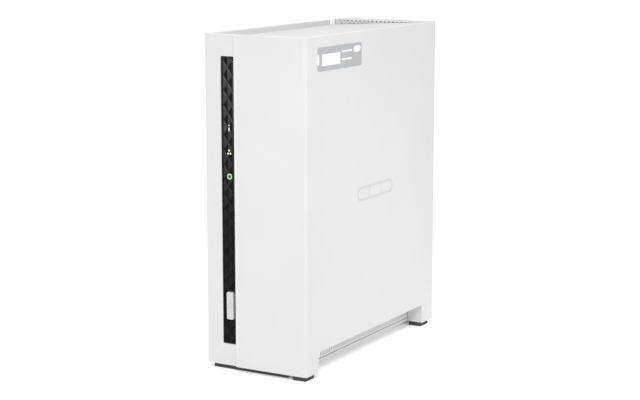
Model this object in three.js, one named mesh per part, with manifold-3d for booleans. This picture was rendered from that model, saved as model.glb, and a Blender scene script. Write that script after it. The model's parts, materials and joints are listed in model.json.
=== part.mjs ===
// A single-bay network attached storage unit that stands upright: a left housing half that
// carries the boards and the fan, a right cover that slides off forwards, and a caddy that
// holds one 3.5-inch drive. Millimetres, +Z up. Every dimension below is measured from the
// left wall (X), from the front face (Y) and from the ground (Z); the last lines move the
// whole unit so that its origin is the centre of its footprint.
import * as THREE from 'three';
import { mergeVertices } from 'three/addons/utils/BufferGeometryUtils.js';
import Module from 'manifold-3d';

const wasm = await Module();
wasm.setup();

// ---- Housing ----
const WIDTH = 65.5;
const DEPTH = 156.5;
const HEIGHT = 188.6;
const WALL = 2.2;
const FRONT_WALL = 2.0;
const CORNER_RADIUS = 2;
const LEFT_RADIUS = 0.8; // the left half's front corner
const REAR_RADIUS = 1;
const EDGE_RADIUS = 0.6;
const GROUND_GAP = 2.6; // height of the feet, and of the housing's underside
const SEAM_X = 19.5; // front joint line between the left half and the cover
const SEAM_GAP = 0.3;
const FRONT_STEP = 1.5; // the left half's front face sits this far behind the cover's
const LAP_FRONT_Y = 2.4; // the left half's flange behind the cover's front wall
const LAP_REACH_X = 27;
const LAP_TOP_Z = 183.4;
const LEDGE_REACH_X = 23; // the left half's ledge under the cover's top

// ---- Sunken top: a sloping floor between the rims, and a vent at its rear end ----
const FLOOR_LOW_Z = 185.2;
const FLOOR_HIGH_Z = 188.5;
const FLOOR_THICKNESS = 1.8;
const VENT_Y = 144;
const VENT_WALL = 1.4;
const LEDGE_THICKNESS = 0.9;
const VENT_PITCH = 2.86;
const VENT_HOLE_RADIUS = 0.45;
const VENT_BOTTOM_Z = 182.5;
const VENT_FIRST_X = 5.2;
const VENT_ROWS = [{ below: 0.6, shift: 0, endX: 31 }, { below: 1.5, shift: VENT_PITCH / 2, endX: 18 }];
const NOTCH_Y = [137.8, 148.3]; // a notch in the left wall beside the vent's end
const NOTCH_POST = { x: [1.4, WALL], y: [140.6, 141.1] };

// ---- Cover legs and the long cut-out between them ----
const LEG_X = [55.5, WIDTH];
const FRONT_LEG_Y = [0, 13.3];
const REAR_LEG_Y = [142.1, DEPTH];
const CUTOUT_TOP_Z = 14;
const CUTOUT_SLANT = { run: 2.1, rise: 4.2 };
const LEG_WALL = 1.6;
const SILL_THICKNESS = 1.6; // inward flange along the top of the cut-out
const BASE_RIGHT_X = 55.2;
const BASE_THICKNESS = 2;
const BASE_Y = [4.7, 152.8];
const RAIL = { x: [53.4, BASE_RIGHT_X], y: [14.5, 152], z: [4.9, 15.5] };
const RAIL_SLOT = { pitch: 2.6, width: 1.3, z: [6.2, 14] };

// ---- Inlays in the cover's side ----
const LABEL = { y: [12, 61.5], z: [169.3, 182.3], radius: 1.5, depth: 0.3, thickness: 0.25 };
const EMBLEM = { y: [57.5, 100.5], z: [91.5, 100], depth: 0.3, thickness: 0.25, stroke: 1.5 };
const EMBLEM_RADIUS = (EMBLEM.z[1] - EMBLEM.z[0]) / 2;
const INLAY_GAP = 0.1;

// ---- Front window, button and light guides ----
const WINDOW = { x: [10.66, 19.2], hiddenX: 23.7, y: 1.8, z: [15.2, 176.3] };
const WINDOW_BACK_Y = 4.4;
const BUTTON = { x: [12.9, 17.3], z: [29.1, 44.8], frontY: 1.35, backY: 5, radius: 0.9, clearance: 0.25 };
const BUTTON_FLANGE = { x: 0.8, z: 0.9, gap: 0.1 };
const SWITCH_AT = [(BUTTON.x[0] + BUTTON.x[1]) / 2, (BUTTON.z[0] + BUTTON.z[1]) / 2];
const SWITCH = { side: 6, frontY: 5.9 };
const PLUNGER = { radius: 1.6, y: [5.1, 7.3], travelEndY: 8.3 };
const LIGHT_X = 15.06;
const GUIDE = { side: 7, plate: 1.2, stemRadius: 1 };
const STATUS_STEMS = [[-1.8, 0], [1.8, 0]];
const NETWORK_STEMS = [[0, 1.4], [-1.6, -1.2], [1.6, -1.2]];
const DRIVE_STEMS = [[0, 0]];
const GUIDE_Y = [4.6, 8.5];
const STATUS_Z = 137;
const NETWORK_Z = 124;
const DRIVE_LIGHT_Z = 110.4;
const FRONT_BOARD = { x: [10.2, 23], y: [9, 10.6], z: [24, 148] };
const BOARD_REST = { reach: 1.3, z: [60, 122], height: 4, thickness: 2 };

// ---- Rear panel ----
const PANEL_Y = [153, 154.5];
const PANEL_X = [2.4, 63.1];
const PANEL_Z = [4.9, 184.5];
const PORT_END_Y = 154.4;
const PORT_GAP = 0.25;
const PANEL_NOTCH = { x: BASE_RIGHT_X - 0.1, z: CUTOUT_TOP_Z + 0.5 }; // clears the cover's rear leg

// ---- Mainboard and what stands on it ----
const BOARD = { x: [6, 7.6], y: [26, 152.6], z: [14, 120] };
const BOARD_SCREW_YZ = [[31, 19.5], [31, 114.5], [126, 19.5], [126, 114.5]];
const ETHERNET = { height: 13.4, depth: 21.4, z: [92, 108] };
const USB = { height: 7, depth: 16.4, width: 13.1, lowZ: [72, 54] };
const POWER_JACK = { height: 11, depth: 14.4, z: [34.5, 43.5] };
const RESET = { x: 10.6, z: 26, radius: 0.9, y: [149.2, 154.2] };
const LOCK = { x: 49, z: 30, slot: [7, 3], plate: 12 };
const CHIP = { y: 75, z: 84, side: 19, height: 1.6 };
const SINK = { side: 30, base: 2, finHeight: 8, fin: 1.2, fins: 8 };
const MEMORY = { y: 103, z: [94, 76], size: [1.1, 9, 13] };
const CELL = { y: 46, z: 56, radius: 10, x: [9, 12.2], rim: 1.6, cupTopX: 11 };

// ---- Drive, caddy and drive electronics ----
const BRACKET_X = [25.8, 27.3];
const TRAY_X = [27.6, 28.8];
const DRIVE = { x: [29, 55.1], y: [12.2, 113.8], z: [24, 171] };
const DRIVE_MID_Y = (DRIVE.y[0] + DRIVE.y[1]) / 2;
const DRIVE_SCREW = { x: DRIVE.x[0] + 6.35, z: [DRIVE.z[0] + 28.5, DRIVE.z[0] + 130.1] };
const CASTING_X = [DRIVE.x[0], DRIVE.x[1] - 2.6];
const TRAY_FLANGE = { gap: 0.4, thickness: 1.2, reachX: 43 };
const SATA = { y: DRIVE_MID_Y + 20.7, width: 33.4, x: DRIVE.x[0] + 3.7, thickness: 1.4 };
const BACKPLANE = { x: [8, 55], y: [38, 106], z: [17, 18.6] };
const BACKPLANE_POST_XY = [[14, 43], [49, 43], [14, 101], [49, 101]];
const PILLAR = { y: [[12, 26], [110, 117]], stepZ: 19.5, lipZ: [19, 25], thickness: 2 };

// ---- Fan ----
const FAN = { x: 30.5, z: 150, size: 50, pitch: 40, y: [138, 153], bore: 23.6, blades: 7 };
const FAN_SLOT = { count: 9, pitch: 5, width: 3.2 };
const HUB = { radius: 11.2, wall: 1.6, y: [139, 149.8] };
const SHAFT_RADIUS = 2;

// ---- Feet ----
const WIDE_FOOT = { x: [2.95, 51], topX: BASE_RIGHT_X - 0.2, length: 8.5, y: [3.5, 144.5] };
const COVER_FOOT = { x: [LEG_X[0], 64.1], radius: 0.8, frontY: [1.5, 11.2], rearY: [142.8, 153.1] };

// ---- Screws: head radius, head height, shank radius, shank length ----
const COVER_SCREW = { head: 2.9, height: 1.7, shank: 1.4, length: 6 };
const FAN_SCREW = { head: 3.4, height: 1.7, shank: 1.9, length: 12 };
const BOARD_SCREW = { head: 2.7, height: 1.6, shank: 1, length: 4 };
const TRAY_SCREW = { head: 3, height: 1.6, shank: 1.6, length: 5 };
const COVER_SCREW_X = 60;
const COVER_SCREW_Z = [24, 172];
const TAB = { x: 57, y: [147, 152.7], half: 4 };

const ROUND = 12; // sides of a small round feature
const BIG_ROUND = 36; // sides of a large round feature

const X_AXIS = new THREE.Vector3(1, 0, 0);
const Y_AXIS = new THREE.Vector3(0, 1, 0);
const Z_AXIS = new THREE.Vector3(0, 0, 1);
const BACKWARDS = new THREE.Vector3(0, -1, 0);
const ALONG = {
  x: new THREE.Matrix4().makeBasis(Y_AXIS, Z_AXIS, X_AXIS),
  y: new THREE.Matrix4().makeBasis(X_AXIS, Z_AXIS, BACKWARDS),
  z: new THREE.Matrix4().makeBasis(X_AXIS, Y_AXIS, Z_AXIS),
};

// ---- Solids ----

function solid(geometry) {
  geometry.deleteAttribute('normal');
  geometry.deleteAttribute('uv');
  const merged = mergeVertices(geometry, 1e-4);
  const vertProperties = new Float32Array(merged.attributes.position.array);
  const triVerts = new Uint32Array(merged.index.array);
  return new wasm.Manifold(new wasm.Mesh({ numProp: 3, vertProperties, triVerts }));
}

const join = (first, ...others) => others.reduce((whole, piece) => whole.add(piece), first);
const cut = (first, ...tools) => tools.reduce((whole, tool) => whole.subtract(tool), first);

function block([x0, x1], [y0, y1], [z0, z1]) {
  const geometry = new THREE.BoxGeometry(x1 - x0, y1 - y0, z1 - z0);
  geometry.translate((x0 + x1) / 2, (y0 + y1) / 2, (z0 + z1) / 2);
  return solid(geometry);
}

// An outline swept along an axis. Its two coordinates are (Y, Z) along x, (X, Z) along y
// and (X, Y) along z.
function prism(axis, outline, [low, high], arcSteps = 4) {
  const options = { depth: high - low, bevelEnabled: false, curveSegments: arcSteps };
  const geometry = new THREE.ExtrudeGeometry(outline, options);
  geometry.applyMatrix4(ALONG[axis]);
  const start = { x: [low, 0, 0], y: [0, high, 0], z: [0, 0, low] }[axis];
  geometry.translate(...start);
  return solid(geometry);
}

const polygon = (points) => new THREE.Shape(points.map(([u, v]) => new THREE.Vector2(u, v)));

function disc([u, v], radius, sides = ROUND) {
  const step = (2 * Math.PI) / sides;
  const corner = (_, i) => [u + radius * Math.cos(i * step), v + radius * Math.sin(i * step)];
  return polygon(Array.from({ length: sides }, corner));
}

function roundedRectangle([u0, u1], [v0, v1], radius) {
  const outline = new THREE.Shape();
  outline.moveTo(u0 + radius, v0);
  outline.lineTo(u1 - radius, v0);
  outline.absarc(u1 - radius, v0 + radius, radius, -Math.PI / 2, 0);
  outline.absarc(u1 - radius, v1 - radius, radius, 0, Math.PI / 2);
  outline.absarc(u0 + radius, v1 - radius, radius, Math.PI / 2, Math.PI);
  outline.absarc(u0 + radius, v0 + radius, radius, Math.PI, (3 * Math.PI) / 2);
  return outline;
}

const rod = (axis, centre, radius, span, sides) => prism(axis, disc(centre, radius, sides), span);
const grow = ([low, high], by) => [low - by, high + by];
const around = (middle, width) => [middle - width / 2, middle + width / 2];

// ---- Materials and nodes ----

const finish = (color, roughness, metalness = 0) =>
  new THREE.MeshStandardMaterial({ color, roughness, metalness });
const whitePlastic = () => finish(0xe8e9ea, 0.55);
const blackPlastic = () => finish(0x1c1d1f, 0.5);
const clearPlastic = () => finish(0xdfe6e8, 0.3);
const rubber = () => finish(0x2e2f31, 0.85);
const steel = () => finish(0xb4b7ba, 0.35, 0.9);
const circuitBoard = () => finish(0x1f5a3a, 0.6);
const chipBlack = () => finish(0x18191b, 0.7);

function node(name, body, material) {
  const { vertProperties, triVerts } = body.getMesh();
  const geometry = new THREE.BufferGeometry();
  geometry.setAttribute('position', new THREE.BufferAttribute(vertProperties, 3));
  geometry.setIndex(new THREE.BufferAttribute(triVerts, 1));
  geometry.computeVertexNormals();
  const mesh = new THREE.Mesh(geometry, material);
  mesh.name = name;
  return mesh;
}

// ---- Housing pieces ----

const floorHeight = (x) =>
  FLOOR_LOW_Z + ((x - WALL) * (FLOOR_HIGH_Z - FLOOR_LOW_Z)) / (WIDTH - 2 * WALL);

// A stretch of the sloping top floor, with its upper face lowered by drop.
function topFloor([x0, x1], [y0, y1], drop, thickness) {
  const left = floorHeight(x0) - drop;
  const right = floorHeight(x1) - drop;
  const outline = polygon([
    [x0, left - thickness],
    [x1, right - thickness],
    [x1, right],
    [x0, left],
  ]);
  return prism('y', outline, [y0, y1]);
}

// Front wall and left wall in one bent outline, rounded at the outer corners.
function leftWalls() {
  const outline = new THREE.Shape();
  const frontBack = FRONT_STEP + WALL;
  outline.moveTo(SEAM_X - SEAM_GAP, FRONT_STEP);
  outline.lineTo(SEAM_X - SEAM_GAP, frontBack);
  outline.lineTo(WALL, frontBack);
  outline.lineTo(WALL, DEPTH);
  outline.lineTo(REAR_RADIUS, DEPTH);
  outline.absarc(REAR_RADIUS, DEPTH - REAR_RADIUS, REAR_RADIUS, Math.PI / 2, Math.PI);
  const cornerY = FRONT_STEP + LEFT_RADIUS;
  outline.absarc(LEFT_RADIUS, cornerY, LEFT_RADIUS, Math.PI, (3 * Math.PI) / 2);
  return prism('z', outline, [GROUND_GAP, HEIGHT]);
}

function leftShell() {
  const seam = SEAM_X - SEAM_GAP;
  const bossSpan = [WALL - 0.5, BOARD.x[0]];
  const bosses = BOARD_SCREW_YZ.map((at) => rod('x', at, 3.2, bossSpan));
  const bossHoles = BOARD_SCREW_YZ.map((at) => rod('x', at, 1.15, [WALL + 0.6, BOARD.x[0] + 1]));
  const restX = [WALL - 0.5, FRONT_BOARD.x[0] + BOARD_REST.reach];
  const restY = [FRONT_BOARD.y[1], FRONT_BOARD.y[1] + BOARD_REST.thickness];
  const boardRests = BOARD_REST.z.map((z) => block(restX, restY, [z, z + BOARD_REST.height]));
  const shell = join(
    leftWalls(),
    block([seam - 1.5, LAP_REACH_X], [LAP_FRONT_Y, WINDOW_BACK_Y], [GROUND_GAP + 0.3, LAP_TOP_Z]),
    topFloor([WALL - 0.5, seam], [FRONT_STEP + 1, VENT_Y - SEAM_GAP], 0, FLOOR_THICKNESS),
    topFloor([seam - 1.5, LEDGE_REACH_X], [WINDOW_BACK_Y, VENT_Y - SEAM_GAP], FLOOR_THICKNESS + 0.3, 1.6),
    topFloor([seam - 1.5, seam], [WINDOW_BACK_Y, VENT_Y - SEAM_GAP], 0.9, 2),
    ...bosses,
    ...boardRests,
  );
  const window = block([WINDOW.x[0] - 0.1, WINDOW.hiddenX + 0.2], [0, 6], grow(WINDOW.z, 0.2));
  const notchZ = [FLOOR_LOW_Z, HEIGHT + 1];
  const post = NOTCH_POST;
  const notches = [
    block([-1, WALL], [NOTCH_Y[0], post.y[0]], notchZ),
    block([-1, WALL], [post.y[1], VENT_Y], notchZ),
    block([-1, post.x[0]], [post.y[0] - 0.1, NOTCH_Y[1]], notchZ),
  ];
  return cut(shell, window, ...notches, ...bossHoles);
}

// Front wall and right wall in one bent outline.
function coverWalls() {
  const outline = new THREE.Shape();
  const right = WIDTH - CORNER_RADIUS;
  outline.moveTo(SEAM_X + EDGE_RADIUS, 0);
  outline.absarc(right, CORNER_RADIUS, CORNER_RADIUS, -Math.PI / 2, 0);
  outline.absarc(WIDTH - REAR_RADIUS, DEPTH - REAR_RADIUS, REAR_RADIUS, 0, Math.PI / 2);
  outline.lineTo(WIDTH - WALL, DEPTH);
  outline.lineTo(WIDTH - WALL, FRONT_WALL);
  outline.lineTo(SEAM_X, FRONT_WALL);
  outline.absarc(SEAM_X + EDGE_RADIUS, EDGE_RADIUS, EDGE_RADIUS, Math.PI, (3 * Math.PI) / 2);
  return prism('z', outline, [GROUND_GAP, HEIGHT]);
}

function leg([y0, y1]) {
  const box = block([LEG_X[0], WIDTH - 1], [y0 + 1, y1 - 1], [GROUND_GAP, CUTOUT_TOP_Z]);
  const ends = block([LEG_X[0], WIDTH - CORNER_RADIUS], [y0, y1], [GROUND_GAP, CUTOUT_TOP_Z]);
  const hollowX = [LEG_X[0] + LEG_WALL, WIDTH - WALL];
  const hollowY = [y0 + FRONT_WALL, y1 - FRONT_WALL];
  const hollow = block(hollowX, hollowY, [GROUND_GAP + LEG_WALL, CUTOUT_TOP_Z + 1]);
  return cut(join(box, ends), hollow);
}

// The opening between the legs, seen from the side, with a slanting front upper corner.
function sideCutout() {
  const outline = polygon([
    [FRONT_LEG_Y[1], GROUND_GAP - 1],
    [REAR_LEG_Y[0], GROUND_GAP - 1],
    [REAR_LEG_Y[0], CUTOUT_TOP_Z],
    [FRONT_LEG_Y[1] + CUTOUT_SLANT.run, CUTOUT_TOP_Z],
    [FRONT_LEG_Y[1], CUTOUT_TOP_Z - CUTOUT_SLANT.rise],
  ]);
  return prism('x', outline, [LEG_X[0] - 1, WIDTH + 1]);
}

function inlayPocket({ y, z, depth }, radius) {
  const outline = roundedRectangle(grow(y, INLAY_GAP), grow(z, INLAY_GAP), radius + INLAY_GAP);
  return prism('x', outline, [WIDTH - depth, WIDTH + 1]);
}

function sideCover() {
  const floorX = [SEAM_X, WIDTH - WALL + 0.5];
  const tabZ = (z) => around(z, 2 * TAB.half);
  const tabs = COVER_SCREW_Z.map((z) => block([TAB.x, WIDTH - WALL + 0.5], TAB.y, tabZ(z)));
  const tabHoles = COVER_SCREW_Z.map((z) => rod('y', [COVER_SCREW_X, z], 1.5, grow(TAB.y, 1)));
  const walls = cut(coverWalls(), sideCutout());
  const sillX = [LEG_X[0] + 0.1, WIDTH - WALL + 0.5];
  const sillY = [FRONT_LEG_Y[1] - 1, REAR_LEG_Y[0] + 1];
  const cover = join(
    walls,
    block(sillX, sillY, [CUTOUT_TOP_Z, CUTOUT_TOP_Z + SILL_THICKNESS]),
    topFloor(floorX, [FRONT_WALL - 0.5, VENT_Y - SEAM_GAP], 0, FLOOR_THICKNESS),
    leg(FRONT_LEG_Y),
    leg(REAR_LEG_Y),
    ...tabs,
  );
  const pockets = [inlayPocket(LABEL, LABEL.radius), inlayPocket(EMBLEM, EMBLEM_RADIUS)];
  return cut(cover, ...tabHoles, ...pockets);
}

function modelLabel() {
  const outline = roundedRectangle(LABEL.y, LABEL.z, LABEL.radius);
  const inner = WIDTH - LABEL.depth;
  return prism('x', outline, [inner, inner + LABEL.thickness]);
}

// A long round-ended frame with two dividers: a plain decorative mark.
function sideEmblem() {
  const inner = WIDTH - EMBLEM.depth;
  const span = [inner, inner + EMBLEM.thickness];
  const outer = roundedRectangle(EMBLEM.y, EMBLEM.z, EMBLEM_RADIUS);
  const holeY = grow(EMBLEM.y, -EMBLEM.stroke);
  const holeZ = grow(EMBLEM.z, -EMBLEM.stroke);
  const hole = roundedRectangle(holeY, holeZ, EMBLEM_RADIUS - EMBLEM.stroke);
  const third = (EMBLEM.y[1] - EMBLEM.y[0]) / 3;
  const dividers = [1, 2].map((i) =>
    block(span, around(EMBLEM.y[0] + i * third, EMBLEM.stroke), grow(EMBLEM.z, -0.2)));
  return join(cut(prism('x', outer, span), prism('x', hole, grow(span, 1))), ...dividers);
}

function basePlate() {
  const top = GROUND_GAP + BASE_THICKNESS;
  const plate = block([PANEL_X[0], BASE_RIGHT_X], BASE_Y, [GROUND_GAP, top]);
  const posts = BACKPLANE_POST_XY.map((at) => rod('z', at, 3, [top - 0.5, BACKPLANE.z[0]]));
  // Each pillar carries the drive bracket on its step and steadies it with a lip.
  const pillars = PILLAR.y.flatMap((y) => [
    block([BRACKET_X[0] - PILLAR.thickness, BRACKET_X[1]], y, [top - 0.5, PILLAR.stepZ]),
    block([BRACKET_X[0] - PILLAR.thickness, BRACKET_X[0] - 0.2], y, PILLAR.lipZ),
  ]);
  return join(plate, ...posts, ...pillars);
}

// The slotted intake rail on the right edge of the base.
function baseVentRail() {
  const count = Math.floor((RAIL.y[1] - RAIL.y[0] - 4) / RAIL_SLOT.pitch);
  const first = (RAIL.y[0] + RAIL.y[1] - (count - 1) * RAIL_SLOT.pitch) / 2;
  const slotY = (i) => around(first + i * RAIL_SLOT.pitch, RAIL_SLOT.width);
  const slots = Array.from({ length: count }, (_, i) =>
    block(grow(RAIL.x, 1), slotY(i), RAIL_SLOT.z));
  return cut(block(RAIL.x, RAIL.y, RAIL.z), ...slots);
}

// The vent wall that faces forwards over the sunken floor, the ledge behind it and the
// lip that closes the top of the rear panel.
function rearTopGrille() {
  const lipY = [PANEL_Y[1] + 0.3, DEPTH - 0.1];
  const ledgeZ = HEIGHT - LEDGE_THICKNESS;
  const outline = polygon([
    [VENT_Y, VENT_BOTTOM_Z],
    [VENT_Y + VENT_WALL, VENT_BOTTOM_Z],
    [VENT_Y + VENT_WALL, ledgeZ],
    [lipY[0], ledgeZ],
    [lipY[0], VENT_BOTTOM_Z],
    [lipY[1], VENT_BOTTOM_Z],
    [lipY[1], HEIGHT],
    [VENT_Y, HEIGHT],
  ]);
  const holes = VENT_ROWS.flatMap(({ below, shift, endX }) => {
    const startX = VENT_FIRST_X + shift;
    const count = Math.floor((endX - startX) / VENT_PITCH) + 1;
    return Array.from({ length: count }, (_, i) => {
      const at = [startX + i * VENT_PITCH, ledgeZ - below];
      return rod('y', at, VENT_HOLE_RADIUS, [VENT_Y - 1, VENT_Y + 3], 6);
    });
  });
  return cut(prism('x', outline, PANEL_X), ...holes);
}

// ---- Rear panel ----

const boardFace = BOARD.x[1];
const portX = (height) => [boardFace, boardFace + height];
const usbZ = (low) => [low, low + USB.width];
const fanHoles = [-1, 1].flatMap((u) =>
  [-1, 1].map((v) => [FAN.x + (u * FAN.pitch) / 2, FAN.z + (v * FAN.pitch) / 2]));

// Upright slots that fill the circle in front of the fan.
function fanSlots(span) {
  const { count, pitch, width } = FAN_SLOT;
  const reach = FAN.bore - 1;
  return Array.from({ length: count }, (_, i) => {
    const offset = (i - (count - 1) / 2) * pitch;
    const half = Math.sqrt(reach ** 2 - (Math.abs(offset) + width / 2) ** 2);
    const x = around(FAN.x + offset, width);
    return prism('y', roundedRectangle(x, around(FAN.z, 2 * half), width / 2), span, 3);
  });
}

function rearPanel() {
  const outline = polygon([
    [PANEL_X[0], PANEL_Z[0]],
    [PANEL_NOTCH.x, PANEL_Z[0]],
    [PANEL_NOTCH.x, PANEL_NOTCH.z],
    [PANEL_X[1], PANEL_NOTCH.z],
    [PANEL_X[1], PANEL_Z[1]],
    [PANEL_X[0], PANEL_Z[1]],
  ]);
  const through = grow(PANEL_Y, 1);
  const portHole = (x, z) => block(grow(x, PORT_GAP), through, grow(z, PORT_GAP));
  const jackAxis = [boardFace + POWER_JACK.height / 2, (POWER_JACK.z[0] + POWER_JACK.z[1]) / 2];
  const [slotWide, slotHigh] = LOCK.slot.map((side) => side + 0.6);
  const slot = roundedRectangle(around(LOCK.x, slotWide), around(LOCK.z, slotHigh), 1);
  return cut(
    prism('y', outline, PANEL_Y),
    portHole(portX(ETHERNET.height), ETHERNET.z),
    ...USB.lowZ.map((low) => portHole(portX(USB.height), usbZ(low))),
    rod('y', jackAxis, 4.1, through, 16),
    rod('y', [RESET.x, RESET.z], 1.3, through, 8),
    prism('y', slot, through, 2),
    ...fanSlots(through),
    ...fanHoles.map((at) => rod('y', at, 2.2, through, 8)),
    ...COVER_SCREW_Z.map((z) => rod('y', [COVER_SCREW_X, z], 1.7, through, 8)),
  );
}

function lockSlotPlate() {
  const plate = block(around(LOCK.x, LOCK.plate), [151.2, 152.8], around(LOCK.z, LOCK.plate));
  const slot = roundedRectangle(around(LOCK.x, LOCK.slot[0]), around(LOCK.z, LOCK.slot[1]), 0.8);
  return cut(plate, prism('y', slot, [150, 154], 2));
}

// ---- Front window, button and light guides ----

function frontWindow() {
  const outline = polygon([
    [WINDOW.x[0], WINDOW.y],
    [WINDOW.x[1], WINDOW.y],
    [WINDOW.x[1], LAP_FRONT_Y],
    [WINDOW.hiddenX, LAP_FRONT_Y],
    [WINDOW.hiddenX, WINDOW_BACK_Y],
    [WINDOW.x[0], WINDOW_BACK_Y],
  ]);
  const holeX = grow(BUTTON.x, BUTTON.clearance);
  const holeZ = grow(BUTTON.z, BUTTON.clearance);
  const hole = roundedRectangle(holeX, holeZ, BUTTON.radius + BUTTON.clearance);
  return cut(prism('z', outline, WINDOW.z), prism('y', hole, [0, 6]));
}

function powerButton() {
  const cap = roundedRectangle(BUTTON.x, BUTTON.z, BUTTON.radius);
  const backRimY = [WINDOW_BACK_Y + BUTTON_FLANGE.gap, BUTTON.backY];
  const flange = block(grow(BUTTON.x, BUTTON_FLANGE.x), backRimY, grow(BUTTON.z, BUTTON_FLANGE.z));
  return join(prism('y', cap, [BUTTON.frontY, BUTTON.backY]), flange);
}

function powerSwitch() {
  const [x, z] = SWITCH_AT.map((middle) => around(middle, SWITCH.side));
  const body = block(x, [SWITCH.frontY, FRONT_BOARD.y[0]], z);
  return cut(body, rod('y', SWITCH_AT, PLUNGER.radius + 0.2, [5, PLUNGER.travelEndY]));
}

// A clear plate behind the window with a stem to each light on the front board.
function lightGuide(z, stems) {
  const plateY = [GUIDE_Y[0], GUIDE_Y[0] + GUIDE.plate];
  const outline = roundedRectangle(around(LIGHT_X, GUIDE.side), around(z, GUIDE.side), 1);
  const stemY = [plateY[1] - 0.2, GUIDE_Y[1]];
  const stem = ([dx, dz]) => rod('y', [LIGHT_X + dx, z + dz], GUIDE.stemRadius, stemY, 8);
  return join(prism('y', outline, plateY, 2), ...stems.map(stem));
}

function frontBoard() {
  const groups = [
    [STATUS_Z, STATUS_STEMS],
    [NETWORK_Z, NETWORK_STEMS],
    [DRIVE_LIGHT_Z, DRIVE_STEMS],
  ];
  const lampY = [GUIDE_Y[1] + 0.1, FRONT_BOARD.y[0] + 0.1];
  const lamp = (z, [dx, dz]) => block(around(LIGHT_X + dx, 1.6), lampY, around(z + dz, 1));
  const lamps = groups.flatMap(([z, stems]) => stems.map((stem) => lamp(z, stem)));
  return join(block(FRONT_BOARD.x, FRONT_BOARD.y, FRONT_BOARD.z), ...lamps);
}

// ---- Mainboard and its parts ----

function mainboard() {
  const holes = BOARD_SCREW_YZ.map((at) => rod('x', at, 1.4, grow(BOARD.x, 1), 8));
  return cut(block(BOARD.x, BOARD.y, BOARD.z), ...holes);
}

const processor = () =>
  block(portX(CHIP.height), around(CHIP.y, CHIP.side), around(CHIP.z, CHIP.side));

function heatsink() {
  const baseX = boardFace + CHIP.height;
  const tipX = baseX + SINK.base + SINK.finHeight;
  const pitch = (SINK.side - SINK.fin) / (SINK.fins - 1);
  const y0 = CHIP.y - SINK.side / 2;
  const points = [[baseX, y0 + SINK.side], [baseX, y0]];
  for (let i = 0; i < SINK.fins; i += 1) {
    const finY = y0 + i * pitch;
    points.push([tipX, finY]);
    points.push([tipX, finY + SINK.fin]);
    if (i < SINK.fins - 1) {
      points.push([baseX + SINK.base, finY + SINK.fin]);
      points.push([baseX + SINK.base, finY + pitch]);
    }
  }
  return prism('z', polygon(points), around(CHIP.z, SINK.side));
}

function memoryChip() {
  const [height, width, length] = MEMORY.size;
  return block([0, height], around(0, width), around(0, length));
}

function batteryHolder() {
  const at = [CELL.y, CELL.z];
  const cup = rod('x', at, CELL.radius + CELL.rim, [boardFace, CELL.cupTopX], 24);
  const seat = rod('x', at, CELL.radius + 0.3, [CELL.x[0], 20], 24);
  const fingerGap = block([CELL.x[0], 20], around(CELL.y, 7), [CELL.z, CELL.z + 20]);
  return cut(cup, seat, fingerGap);
}

const coinBattery = () => rod('x', [CELL.y, CELL.z], CELL.radius, CELL.x, 24);

// Network socket: a shielded can with an open mouth to the rear and a notch for the latch.
function ethernetJack() {
  const x = portX(ETHERNET.height);
  const midZ = (ETHERNET.z[0] + ETHERNET.z[1]) / 2;
  const can = block(x, [PORT_END_Y - ETHERNET.depth, PORT_END_Y], ETHERNET.z);
  const mouthY = [PORT_END_Y - 11.5, PORT_END_Y + 1];
  return cut(
    can,
    block([x[0] + 3.4, x[1] - 2.2], mouthY, around(midZ, 11.8)),
    block([x[0] + 1.4, x[0] + 3.6], mouthY, around(midZ, 6)),
  );
}

// USB type A socket built at its own lower corner: a thin can with a tongue inside.
function usbPort() {
  const can = block([0, USB.height], [-USB.depth, 0], [0, USB.width]);
  const mouthY = [-13, 1];
  const mouth = block([0.8, USB.height - 0.8], mouthY, [0.5, USB.width - 0.5]);
  const tongue = block([1.5, 3.4], [-13.5, -2], [1.4, USB.width - 1.4]);
  return join(cut(can, mouth), tongue);
}

function powerJack() {
  const x = portX(POWER_JACK.height);
  const axis = [(x[0] + x[1]) / 2, (POWER_JACK.z[0] + POWER_JACK.z[1]) / 2];
  const body = block(x, [PORT_END_Y - POWER_JACK.depth, PANEL_Y[0] - 0.1], POWER_JACK.z);
  const nose = rod('y', axis, 3.9, [PANEL_Y[0] - 1, PORT_END_Y], 16);
  const bore = rod('y', axis, 3, [PORT_END_Y - 11, PORT_END_Y + 1], 16);
  const pin = rod('y', axis, 1, [PORT_END_Y - 12, PORT_END_Y - 1.5], 8);
  return join(cut(join(body, nose), bore), pin);
}

function resetSwitch() {
  const body = block([boardFace, 13.6], [145.5, 150.5], around(RESET.z, 6));
  return cut(body, rod('y', [RESET.x, RESET.z], RESET.radius + 0.2, [148.4, 152], 8));
}

const backplaneConnector = () => block([boardFace, 13], [54, 78], [BACKPLANE.z[1], 24]);

// ---- Cables that are held at both ends ----

// A flat cable that follows an S in plan, from the front board to its plug on the mainboard.
function ribbonCable() {
  const thickness = 0.8;
  const route = new THREE.CubicBezierCurve(
    new THREE.Vector2(17, FRONT_BOARD.y[1] + 0.1),
    new THREE.Vector2(17, 20),
    new THREE.Vector2(10.2, 18),
    new THREE.Vector2(10.2, 28),
  );
  const steps = 10;
  const side = (sign) => route.getPoints(steps).map((at, i) => {
    const along = route.getTangent(i / steps);
    return [at.x - (sign * along.y * thickness) / 2, at.y + (sign * along.x * thickness) / 2];
  });
  const ribbon = prism('z', polygon([...side(-1), ...side(1).reverse()]), [92, 104]);
  const plug = block([boardFace, 12], [27.5, 32], [91, 105]);
  return join(ribbon, plug);
}

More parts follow.
